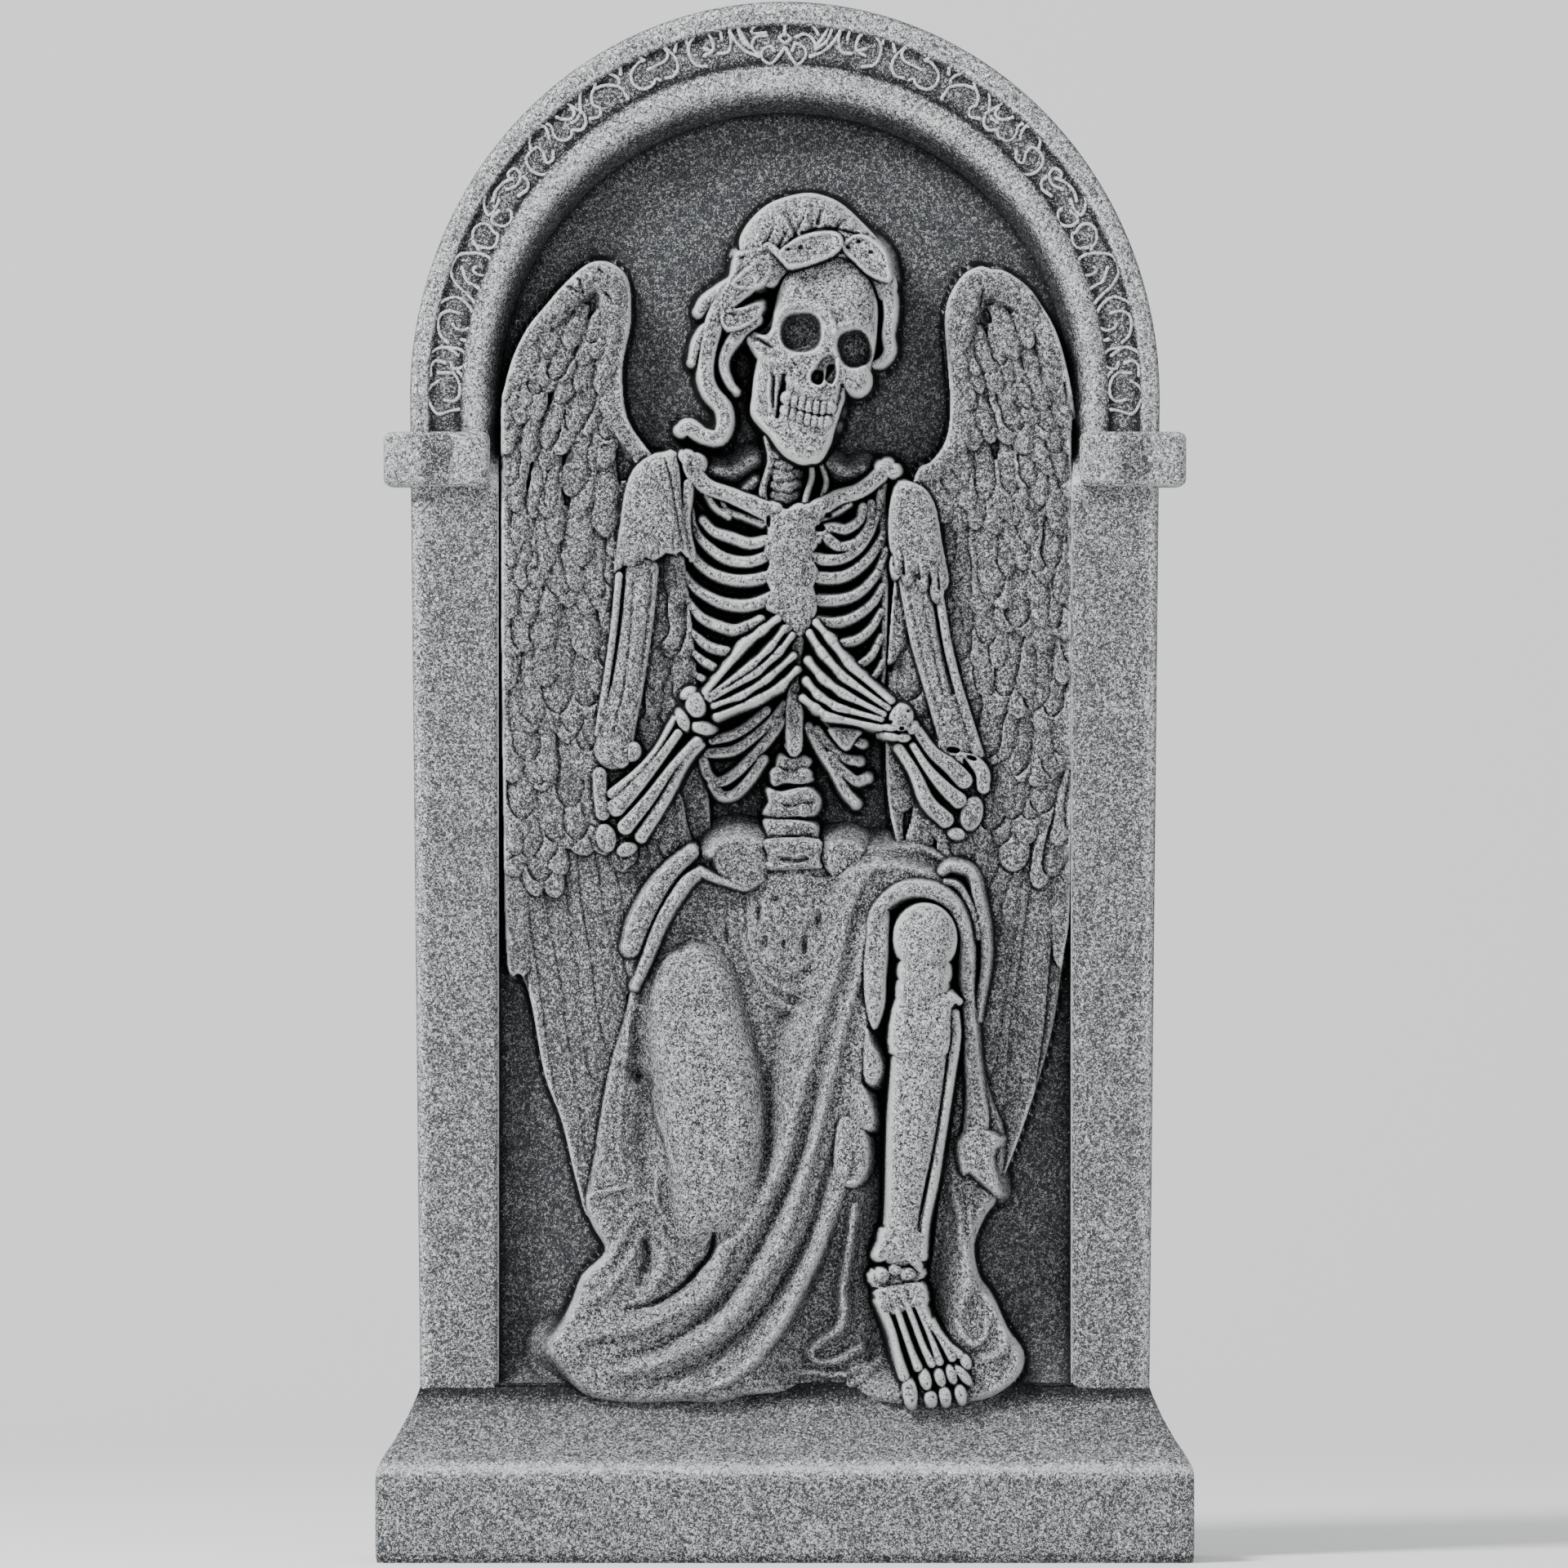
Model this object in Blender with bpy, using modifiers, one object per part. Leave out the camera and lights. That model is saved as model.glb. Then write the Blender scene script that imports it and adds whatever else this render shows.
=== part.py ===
# Grave marker of moulded foam: a round arched slab on a flared plinth. A winged skeleton
# kneels in its shallow niche, cast in one with it. Metres, +Z up, the front faces -Y,
# the origin is under the middle of the foot.

import bmesh
import bpy
import numpy as np

# Driving sizes
HEIGHT = 0.914
SLAB_WIDTH = 0.440
SLAB_DEPTH = 0.073
SLAB_TAPER = 0.006            # how much each side draws in from the spring line to the plinth
EDGE_ROUND = 0.0062
PILASTER_WIDTH = 0.0525
ARCH_WIDTH = 0.065            # of the mouldings at the crown
NICHE_DEPTH = 0.030
RELIEF_DEPTH = 0.0748
PLINTH_EDGE_HEIGHT = 0.055
PLINTH_FLARE_HEIGHT = 0.0473
PLINTH_SIDE_REACH = 0.02525   # beyond the slab's foot, on each side
PLINTH_FRONT_REACH = 0.055    # in front of the slab's face
PLINTH_CORNER = 0.006
LEDGE_COVE_HEIGHT = 0.028
IMPOST_WIDTH = 0.0625
IMPOST_HEIGHT = 0.032
IMPOST_DROP = 0.052           # from the spring line down to the impost's underside
IMPOST_PROUD = 0.0085
IMPOST_ROUND = 0.0045
IMPOST_BACK_GAP = 0.006
IMPOST_INSET = 0.0055         # from the niche's side to the impost's
BAND_DEPTH = 0.003
SCROLL_WIRE = 0.0019
SCROLLS_A_SIDE = 13
BACK_STEP = 0.002             # from the plinth's back to the slab's
SINK = 0.0035                 # how far a joined block runs into its neighbour

# Sizes that follow
NICHE_WIDTH = SLAB_WIDTH - 2 * PILASTER_WIDTH
NICHE_TOP = HEIGHT - ARCH_WIDTH
SPRING_HEIGHT = NICHE_TOP - NICHE_WIDTH / 2
SLAB_FOOT_WIDTH = SLAB_WIDTH - 2 * SLAB_TAPER
PLINTH_WIDTH = SLAB_FOOT_WIDTH + 2 * PLINTH_SIDE_REACH
PLINTH_DEPTH = PLINTH_FRONT_REACH + SLAB_DEPTH + BACK_STEP
PLINTH_HEIGHT = PLINTH_EDGE_HEIGHT + PLINTH_FLARE_HEIGHT
IMPOST_BASE = SPRING_HEIGHT - IMPOST_DROP

# Where the main planes lie
BACK_Y = PLINTH_DEPTH / 2
SLAB_BACK_Y = BACK_Y - BACK_STEP
FACE_Y = SLAB_BACK_Y - SLAB_DEPTH
PANEL_Y = FACE_Y + NICHE_DEPTH
PLINTH_FRONT_Y = -PLINTH_DEPTH / 2
SLAB_FOOT_Z = 0.8 * PLINTH_EDGE_HEIGHT

# The carving is laid out on a drawing that fills the niche: x from its middle line,
# z from the ledge, heights from the panel, all in drawing units
DRAWING_WIDTH = 700.0
DRAWING_HEIGHT = 1563.0
DRAWING_RELIEF = 156.0
UNIT_X = NICHE_WIDTH / DRAWING_WIDTH
UNIT_Z = (NICHE_TOP - PLINTH_HEIGHT) / DRAWING_HEIGHT
UNIT_Y = RELIEF_DEPTH / DRAWING_RELIEF
GRID_STEP = 5.0
DRAFT = 9.0
GROUND_LEVEL = -SINK / UNIT_Y
RELIEF_TRIANGLES = 5700
RELIEF_ROOT = NICHE_DEPTH * 0.6
ARCH_PIECES = 26
WING_FIRST_ROW = 470
WING_LAST_ROW = 1345
PLUME_WIDTH = 40
PLUME_LIFT = 10
PLUME_CROWN = 5
SCROLL_SWEEP = 250
SCROLL_POINTS = 7
SCROLL_END_ANGLE = 0.06
HIGHEST_PATCH = 180           # a patch's walls are worked out this far down
PLUME_OVERLAP = 0.86          # spacing of the plumes as a share of their width
WING_OUTER_EDGE = 352
WING_SPREAD = 260             # width that a row of plumes fills
COVERT_LENGTH = 44
COVERT_WIDTH = 24
DRAWING_FOOT = -60
DRAWING_HEAD = 1475
BAND_START = 0.21
BAND_END = 0.56
SCROLL_GAP = 0.0004           # between a scroll and the band's raised border
SCROLL_RADIUS = (BAND_END - BAND_START) * PILASTER_WIDTH / 2 - SCROLL_WIRE - SCROLL_GAP


def smooth(t):
    t = np.clip(t, 0, 1)
    return t * t * (3 - 2 * t)


def noise(count, seed):
    return np.random.RandomState(seed).rand(count)


def bend(points, pieces=5, closed=False):
    # a smooth curve through the points, with every column of theirs carried along
    p = np.asarray(points, float)
    if closed:
        ends = np.vstack([p[-1:], p, p[:2]])
    else:
        ends = np.vstack([2 * p[:1] - p[1:2], p, 2 * p[-1:] - p[-2:-1]])
    t = (np.arange(pieces) / pieces)[None, :, None]
    a, b, c, d = (ends[i:len(ends) - 3 + i][:, None, :] for i in range(4))
    run = 0.5 * (2 * b + (c - a) * t + (2 * a - 5 * b + 4 * c - d) * t ** 2
                 + (3 * b - a - 3 * c + d) * t ** 3)
    run = run.reshape(-1, p.shape[1])
    return run if closed else np.vstack([run, p[-1:]])


def spread(a, sigma):
    # the heights averaged over their neighbours, with a bell of this width in grid steps
    reach = max(1, int(round(2.5 * sigma)))
    weights = np.exp(-0.5 * (np.arange(-reach, reach + 1) / sigma) ** 2)
    weights /= weights.sum()
    for axis in (0, 1):
        count = a.shape[axis]
        wide = np.pad(a, [(reach, reach) if n == axis else (0, 0) for n in (0, 1)], mode="edge")
        a = sum(w * np.take(wide, range(i, i + count), axis) for i, w in enumerate(weights))
    return a


class Relief:
    """Heights over the panel on a grid of the drawing, raised by strokes and patches."""

    def __init__(self, x0, x1, z0, z1, step, floor):
        self.xs = np.arange(x0, x1 + step * 0.5, step)
        self.zs = np.arange(z0, z1 + step * 0.5, step)
        self.floor = float(floor)
        self.h = np.full((len(self.zs), len(self.xs)), self.floor)

    def layer(self):
        step = self.xs[1] - self.xs[0]
        return Relief(self.xs[0], self.xs[-1], self.zs[0], self.zs[-1], step, self.floor)

    def add(self, other):
        np.maximum(self.h, other.h, out=self.h)

    def window(self, path, reach):
        i0, i1 = np.searchsorted(self.xs, [path[:, 0].min() - reach, path[:, 0].max() + reach])
        j0, j1 = np.searchsorted(self.zs, [path[:, 1].min() - reach, path[:, 1].max() + reach])
        x, z = np.meshgrid(self.xs[i0:i1], self.zs[j0:j1])
        return (slice(j0, j1), slice(i0, i1)), x, z

    def bone(self, points, flat=1.0, slope=DRAFT):
        # a rounded rod through points of x, z, top and radius; its sides fall at the draft
        path = bend(points) if len(points) > 2 else np.asarray(points, float)
        for a, b in zip(path[:-1], path[1:]):
            reach = max(a[3], b[3]) + (max(a[2], b[2]) - self.floor) / slope
            win, x, z = self.window(np.array([a, b]), reach)
            run, rise = b[0] - a[0], b[1] - a[1]
            t = ((x - a[0]) * run + (z - a[1]) * rise) / (run * run + rise * rise + 1e-9)
            t = np.clip(t, 0, 1)
            d = np.hypot(x - a[0] - t * run, z - a[1] - t * rise)
            top = a[2] + t * (b[2] - a[2])
            r = a[3] + t * (b[3] - a[3])
            arc = top - flat * r * (1 - np.sqrt(np.clip(1 - (d / r) ** 2, 0, 1)))
            side = top - flat * r - slope * (d - r)
            self.h[win] = np.maximum(self.h[win], np.where(d < r, arc, side))

    def nearest(self, path, x, z):
        # distance to a path
        best = np.full(x.shape, 1e9)
        for a, b in zip(path[:-1], path[1:]):
            run, rise = b[0] - a[0], b[1] - a[1]
            t = ((x - a[0]) * run + (z - a[1]) * rise) / (run * run + rise * rise + 1e-9)
            t = np.clip(t, 0, 1)
            best = np.minimum(best, np.hypot(x - a[0] - t * run, z - a[1] - t * rise))
        return best

    def inside(self, outline, x, z):
        # True where an odd number of the outline's sides lies to the right
        odd = np.zeros(x.shape, bool)
        for a, b in zip(outline, np.roll(outline, -1, axis=0)):
            if a[1] != b[1]:
                cross = (a[1] > z) != (b[1] > z)
                odd ^= cross & (x < (b[0] - a[0]) * (z - a[1]) / (b[1] - a[1]) + a[0])
        return odd

    def patch(self, points, top, edge, drop, slope=DRAFT):
        # a closed outline filled to a top, a number or a function of x and z, that
        # rounds down by drop within edge of its border
        outline = bend(points, closed=True)[:, :2]
        win, x, z = self.window(outline, HIGHEST_PATCH / slope)
        d = self.nearest(np.vstack([outline, outline[:1]]), x, z)
        height = top(x, z) if callable(top) else top
        u = np.clip(d / edge, 0, 1)
        round_in = height - drop * (1 - np.sqrt(1 - (1 - u) ** 2))
        value = np.where(self.inside(outline, x, z), round_in, height - drop - slope * d)
        self.h[win] = np.maximum(self.h[win], value)

    def dome(self, x0, z0, rx, rz, top, depth):
        # the cap of an ellipsoid
        win, x, z = self.window(np.array([[x0, z0]]), max(rx, rz) + top / DRAFT)
        q = np.hypot((x - x0) / rx, (z - z0) / rz)
        cap = top - depth * (1 - np.sqrt(np.clip(1 - q * q, 0, 1)))
        side = top - depth - DRAFT * (q - 1) * min(rx, rz)
        self.h[win] = np.maximum(self.h[win], np.where(q < 1, cap, side))

    def pit(self, x0, z0, rx, rz, depth, turn=0.0):
        # a rounded hollow, turned by degrees
        win, x, z = self.window(np.array([[x0, z0]]), max(rx, rz))
        c, s = np.cos(np.radians(turn)), np.sin(np.radians(turn))
        u = np.abs((x - x0) * c - (z - z0) * s) / rx
        v = np.abs((x - x0) * s + (z - z0) * c) / rz
        q = np.clip((u ** 2.4 + v ** 2.4) ** (1 / 2.4), 0, 1)
        self.h[win] -= np.where(self.h[win] > self.floor + 1, depth * (1 - q ** 4), 0)

    def soften(self, reach):
        # rounds off all but the border
        step = self.xs[1] - self.xs[0]
        mask = (self.h > self.floor + 1).astype(float)
        weight = np.clip(2 * spread(mask, reach / step) - 1, 0, 1)
        self.h = weight * spread(self.h, reach / step) + (1 - weight) * self.h

    def feather(self, x0, z0, turn, length, width, ground, lift, crown):
        # a plume from its root down: straight sides, a round tip, lifted towards the tip,
        # laid over what is there
        ax, az = np.sin(turn), -np.cos(turn)
        path = np.array([[x0, z0], [x0 + ax * length, z0 + az * length]])
        win, x, z = self.window(path, width)
        u = ((x - x0) * ax + (z - z0) * az) / length
        v = np.abs((x0 - x) * az + (z - z0) * ax) / (0.5 * width)
        tip_share = 0.5 * width / length
        tip = np.clip((u - 1 + tip_share) / tip_share, 0, 1)
        half = np.sqrt(1 - tip ** 2) * (0.8 + 0.2 * smooth(u * 3))
        over = (u > 0) & (u < 1) & (v < half)
        w = np.clip(v / np.maximum(half, 1e-3), 0, 1)
        value = ground(x, z) + lift * (0.25 + 0.75 * u) + crown * (1 - w ** 2.5)
        self.h[win] = np.where(over, value, self.h[win])


def wing(r, side):
    # side is -1 for the wing on the left, whose outline is a little higher than the other's
    if side < 0:
        outline = [(-161, 1140), (-193, 1190), (-204, 1270), (-191, 1320), (-196, 1355), (-226, 1378),
                   (-261, 1370), (-301, 1330), (-331, 1270), (-346, 1200), (-348, 1080), (-347, 900),
                   (-345, 700), (-341, 512), (-321, 496), (-306, 450), (-281, 360), (-261, 280),
                   (-239, 210), (-201, 280), (-171, 500), (-91, 650), (-101, 800), (-121, 1000),
                   (-141, 1110)]
        rim = [(-158, 1128, 58, 17), (-178, 1168, 60, 18), (-191, 1220, 60, 19), (-199, 1280, 60, 20),
               (-203, 1330, 61, 21), (-223, 1358, 61, 21), (-258, 1350, 60, 20), (-289, 1320, 58, 17),
               (-315, 1275, 56, 13), (-331, 1220, 54, 10)]
    else:
        outline = [(157, 1110), (189, 1165), (205, 1230), (197, 1300), (199, 1348), (225, 1373),
                   (261, 1377), (294, 1355), (327, 1315), (345, 1250), (353, 1180), (353, 1000),
                   (352, 700), (351, 525), (337, 465), (324, 400), (301, 330), (265, 240), (219, 300),
                   (209, 500), (139, 660), (119, 800), (129, 1000)]
        rim = [(161, 1108, 56, 15), (185, 1134, 58, 18), (209, 1180, 60, 19), (219, 1245, 60, 20),
               (213, 1305, 61, 21), (226, 1351, 61, 21), (261, 1355, 60, 20), (293, 1328, 58, 16),
               (319, 1288, 56, 13), (336, 1230, 54, 10)]
    lay = r.layer()

    def ground(x, z):
        # thick at the shoulder and the top lobe, thin at the hanging tips
        out = np.abs(x)
        return 30 + 10 * smooth((z - 300) / 900) + 6 * smooth((out - 150) / 60) - 7 * smooth((out - 300) / 48)

    lay.patch(outline, ground, 10, 8)
    bare = lay.h.copy()
    # rows of plumes from the lowest up, each laid over the one below; they grow longer and
    # wider downwards, and lean with the wing's outer edge
    marks = [300, 560, 720, 900, 1080, 1200, 1345]
    z = WING_FIRST_ROW
    row = 0
    while z < WING_LAST_ROW:
        length = np.interp(z, marks, [330, 280, 170, 120, 92, 66, 44])
        step = np.interp(z, marks, [70, 78, 74, 62, 50, 38, 28])
        lean = np.interp(z, [300, 620, 800, 1100, 1250, 1345], [0.30, 0.20, 0.05, 0.0, -0.16, -0.25])
        width = PLUME_WIDTH * np.interp(z, marks, [1.45, 1.4, 1.3, 1.2, 1.1, 1.05, 1.0])
        count = int(WING_SPREAD / (width * PLUME_OVERLAP)) + 1
        lift_off, stretch, twist = noise(3 * count, 100 + row + 50 * (side > 0)).reshape(3, count) - 0.5
        for c in np.argsort(noise(count, 7 + row)):
            x = width * (0.5 + PLUME_OVERLAP * (c + 0.5 * (row % 2))) - WING_OUTER_EDGE
            turn = lean * (1 - 0.35 * c / count) + 0.10 * twist[c]
            turn += 0.10 * c / count if z > 1100 else 0.0
            lay.feather(-side * x, z + lift_off[c] * step * 0.55, -side * turn,
                        length * (1 + 0.12 * stretch[c]), width * 1.08, ground, PLUME_LIFT, PLUME_CROWN)
        z += step
        row += 1
    shape = lay.inside(bend(outline, closed=True), *np.meshgrid(lay.xs, lay.zs))
    lay.h = np.where(shape, lay.h, bare)
    # the thick leading edge over the top, with short round coverts along it
    lay.bone(rim, flat=0.45)
    for x, z, top, _ in bend(rim, 4)[1:-2:2]:
        under = top - 8
        lay.feather(x + 6 * side, z + 6, 0.35 * side, COVERT_LENGTH, COVERT_WIDTH,
                    lambda x, z, under=under: under + 0 * x, 4, 4)
    r.add(lay)


def torso(r):
    # hollow of the chest behind the ribs
    r.patch([(-123, 1100), (-56, 1115), (49, 1115), (121, 1100), (125, 1000), (123, 850), (89, 725),
             (49, 770), (-21, 770), (-81, 725), (-129, 840), (-133, 1000)], 20, 22, 16)
    # neck
    for k in range(5):
        z = 1152 - k * 17
        r.bone([(-11, z, 62, 7.5), (7, z - 3, 66, 8), (27, z, 62, 7.5)], flat=0.9)
    r.bone([(-19, 1160, 64, 5), (-17, 1120, 60, 5), (-25, 1078, 64, 5)])
    r.bone([(35, 1140, 62, 5), (33, 1100, 58, 5), (29, 1072, 62, 5)])
    for pts in ([(-95, 1130, 56, 7), (-71, 1118, 60, 7), (-36, 1094, 62, 6)],
                [(-89, 1144, 50, 5), (-61, 1128, 56, 6), (-27, 1100, 58, 5)],
                [(95, 1134, 54, 7), (73, 1122, 58, 7), (45, 1100, 60, 6)],
                [(95, 1116, 58, 6), (75, 1106, 60, 6), (47, 1088, 62, 5)]):
        r.bone(pts)
    # collar bones
    r.bone([(-125, 1110, 84, 9), (-89, 1094, 82, 8.5), (-56, 1076, 86, 8), (-27, 1064, 92, 9)])
    r.bone([(119, 1125, 84, 10), (91, 1106, 82, 9), (65, 1088, 86, 8.5), (41, 1076, 92, 9)])
    # ribs of the left of the picture, from outside to the breastbone
    left = ([(-115, 1098), (-90, 1051), (-61, 1039), (-21, 1040)],
            [(-119, 1073), (-105, 1038), (-77, 1020), (-17, 1017)],
            [(-123, 1044), (-105, 1012), (-73, 994), (-15, 994)],
            [(-129, 1012), (-109, 982), (-75, 967), (-15, 967)],
            [(-130, 978), (-107, 948), (-73, 936), (-13, 943)],
            [(-132, 944), (-111, 918), (-81, 907), (-36, 919)],
            [(-132, 912), (-113, 892), (-87, 884), (-56, 894)],
            [(-131, 882), (-115, 866), (-95, 862), (-81, 866)])
    right = ([(111, 1096), (99, 1052), (69, 1036), (33, 1032)],
             [(119, 1074), (105, 1036), (75, 1018), (33, 1016)],
             [(122, 1048), (107, 1014), (77, 996), (33, 994)],
             [(123, 1014), (109, 986), (81, 969), (33, 969)],
             [(123, 980), (109, 956), (79, 940), (33, 943)],
             [(122, 950), (109, 926), (85, 911), (49, 920)],
             [(121, 916), (109, 897), (89, 884), (67, 894)],
             [(121, 885), (109, 868), (95, 858), (83, 866)])
    for group in (left, right):
        for k, rib in enumerate(group):
            n = len(rib)
            tops = np.interp(range(n), [0, 1, 2, 3], [50, 66, 80, 90])
            rads = [7.0, 7.8, 7.6, 7.0]
            r.bone([(x, y, t, w) for (x, y), t, w in zip(rib, tops, rads)], flat=0.8)
    # side walls of the cage, where the ribs turn back
    r.bone([(-119, 1100, 62, 5), (-129, 1010, 56, 5), (-132, 920, 52, 5), (-128, 855, 48, 5)])
    r.bone([(117, 1100, 62, 5), (125, 1010, 56, 5), (123, 920, 52, 5), (121, 850, 48, 5)])
    # lower ribs and their margins
    for pts in ([(-95, 824, 58, 6), (-75, 816, 62, 6.5), (-51, 822, 64, 6.5), (-27, 842, 62, 6)],
                [(-95, 792, 56, 6), (-71, 786, 60, 6.5), (-47, 796, 62, 6.5), (-13, 828, 62, 6)],
                [(-99, 762, 52, 6), (-71, 754, 56, 6.5), (-47, 766, 58, 6.5), (-11, 814, 62, 6)],
                [(-93, 738, 44, 5), (-75, 722, 46, 5.5), (-57, 734, 48, 5)],
                [(31, 820, 62, 6.5), (47, 785, 62, 6.5), (65, 750, 58, 6), (85, 724, 52, 6)],
                [(47, 810, 60, 6), (71, 800, 58, 6), (101, 807, 52, 5.5)],
                [(53, 785, 58, 6), (75, 776, 56, 6), (101, 784, 50, 5.5)],
                [(63, 760, 54, 5.5), (81, 754, 52, 5.5), (99, 762, 48, 5)]):
        r.bone(pts, flat=0.85)
    # breastbone
    r.patch([(-27, 1068), (-11, 1076), (10, 1078), (29, 1078), (42, 1072), (39, 1048), (32, 1028),
             (37, 1000), (34, 965), (25, 935), (13, 914), (1, 930), (-11, 960), (-17, 1000), (-13, 1028),
             (-23, 1045)], lambda x, z: 98 - 0.012 * (x - 8) ** 2, 7, 8)
    r.bone([(13, 922, 88, 8), (17, 888, 80, 6), (14, 840, 74, 6)])
    r.bone([(13, 834, 72, 7), (12, 782, 66, 5)])


def spine(r):
    # lumbar column, block above block
    for z, half, top in ((762, 15, 56), (740, 17, 58), (718, 22, 62), (692, 27, 66)):
        r.patch([(9 - half, z + 9), (9 + half, z + 10), (7 + half, z - 9), (11 - half, z - 9)], top, 7, 9)
    r.patch([(-27, 674), (43, 674), (45, 636), (-21, 632)], 78, 9, 10)
    r.patch([(-21, 626), (49, 626), (45, 602), (-16, 600)], 74, 9, 12)


def robe(r):
    lay = r.layer()

    # cloth from the hips down to the ledge, thicker towards the foot
    def ground(x, z):
        return np.interp(z, [-40, 0, 120, 300, 520, 640], [100, 96, 82, 72, 64, 56])

    outline = [(-99, 654), (-56, 680), (39, 660), (99, 650), (149, 670), (199, 652), (231, 634),
               (243, 570), (242, 470), (253, 370), (297, 354), (279, 270), (239, 200), (229, 140),
               (254, 110), (287, 50), (279, 0), (229, -16), (139, -18), (39, -16), (-56, -20),
               (-149, -22), (-236, -16), (-285, 38), (-289, 60), (-261, 110), (-239, 140), (-216, 170),
               (-237, 234), (-233, 310), (-216, 400), (-196, 495), (-197, 534), (-161, 590)]
    lay.patch(outline, ground, 12, 14)
    # thigh of the left of the picture under smooth cloth
    lay.patch([(-119, 540), (-81, 520), (-58, 460), (-37, 380), (-27, 310), (-45, 238), (-77, 188),
               (-111, 148), (-135, 200), (-149, 276), (-159, 340), (-168, 400), (-165, 500),
               (-146, 532)], lambda x, z: np.interp(z, [150, 260, 420, 540],
                                                    [112, 126, 122, 98]), 44, 40, slope=5)
    # lap of cloth between the thigh and the knee
    lay.patch([(-56, 520), (-1, 465), (69, 520), (99, 580), (119, 500), (114, 370), (79, 260), (29, 160),
               (-31, 100), (-61, 140), (-31, 240), (-17, 320), (-31, 410)],
              lambda x, z: np.interp(z, [100, 300, 560], [92, 96, 88]), 26, 22, slope=3)
    # belly of cloth hung between the hips, in rounds
    lay.patch([(-36, 600), (-1, 614), (44, 608), (69, 580), (73, 530), (49, 485), (4, 472), (-29, 505),
               (-43, 560)], 84, 26, 20, slope=3)
    rounds = ([(-43, 590, 84, 6), (-37, 535, 88, 7), (-13, 495, 90, 7), (24, 488, 90, 7),
               (57, 520, 88, 7), (71, 580, 84, 6)],
              [(-56, 580, 80, 6), (-53, 520, 86, 7), (-25, 472, 90, 8), (24, 460, 90, 8),
               (69, 495, 88, 7), (89, 570, 84, 6)])
    # sweeping folds to the lower left
    sweeps = ([(1, 300, 98, 9), (-31, 238, 112, 14), (-81, 174, 118, 15), (-149, 106, 114, 15),
               (-219, 60, 108, 13), (-261, 45, 100, 10)],
              [(85, 410, 98, 9), (55, 300, 112, 14), (13, 216, 120, 17), (-45, 136, 124, 18),
               (-111, 68, 120, 17), (-191, 24, 112, 14), (-249, 8, 104, 10)],
              [(89, 280, 100, 8), (57, 180, 116, 14), (15, 106, 122, 15), (-41, 40, 122, 15),
               (-101, -2, 116, 12), (-161, -10, 110, 9)],
              [(49, 410, 98, 8), (27, 320, 104, 9), (-9, 260, 102, 8)],
              [(101, 560, 100, 8), (103, 460, 106, 9), (91, 370, 106, 9), (69, 280, 106, 9)],
              [(-219, 180, 92, 9), (-237, 140, 98, 12), (-255, 98, 100, 12), (-275, 56, 100, 11)],
              [(-171, 170, 96, 8), (-193, 134, 100, 9), (-223, 100, 100, 9)],
              [(-179, 510, 84, 8), (-199, 430, 88, 10), (-213, 350, 90, 11), (-223, 270, 90, 11),
               (-225, 220, 88, 10)], [(-169, 400, 92, 6), (-165, 320, 98, 7), (-155, 260, 98, 7),
                                      (-125, 200, 96, 7)],
              [(109, 365, 112, 7), (111, 460, 126, 8), (109, 540, 132, 10), (125, 592, 134, 11),
               (167, 610, 134, 11), (205, 594, 130, 10), (227, 550, 122, 9), (232, 470, 110, 8),
               (241, 370, 100, 8), (251, 300, 92, 8)],
              [(199, 460, 100, 8), (215, 380, 98, 8), (225, 320, 94, 8)],
              [(279, 348, 94, 7), (265, 290, 94, 8), (235, 220, 92, 8), (217, 170, 92, 7)],
              [(209, 300, 102, 7), (205, 248, 104, 7), (215, 192, 102, 8), (231, 146, 100, 8),
               (227, 108, 100, 7), (207, 88, 100, 7)],
              [(241, 110, 102, 8), (267, 64, 108, 9), (277, 30, 110, 9), (261, 0, 112, 8),
               (231, -10, 112, 7)], [(79, 60, 104, 9), (29, 32, 106, 9), (-21, 0, 106, 8)],
              [(101, 140, 98, 9), (73, 90, 102, 9), (39, 68, 102, 8)])
    for pts in rounds + sweeps:
        lay.bone(pts, flat=0.75, slope=2.2)
    lay.soften(3.2)
    # rolled hem over the hip, and cloth bunched at the waist
    hems = ([(-95, 650, 84, 10), (-129, 620, 94, 13), (-161, 578, 96, 15), (-187, 536, 90, 14)],
            [(-56, 648, 82, 8), (-91, 634, 88, 8), (-119, 600, 92, 8), (-145, 552, 92, 8),
             (-159, 514, 86, 7)], [(89, 622, 88, 10), (121, 650, 98, 12), (159, 662, 100, 12),
                                   (199, 644, 96, 11), (229, 626, 86, 9)],
            [(101, 596, 98, 8), (131, 626, 106, 9), (169, 636, 106, 9), (209, 618, 100, 8)])
    for pts in hems:
        lay.bone(pts, flat=0.8, slope=5)
    # hip bones showing over the waist
    lay.bone([(-89, 652, 70, 9), (-69, 670, 74, 10), (-43, 668, 74, 10), (-27, 644, 70, 9)], flat=0.7)
    lay.bone([(51, 670, 68, 8), (75, 666, 70, 9), (97, 652, 70, 8)], flat=0.7)
    r.add(lay)


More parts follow.
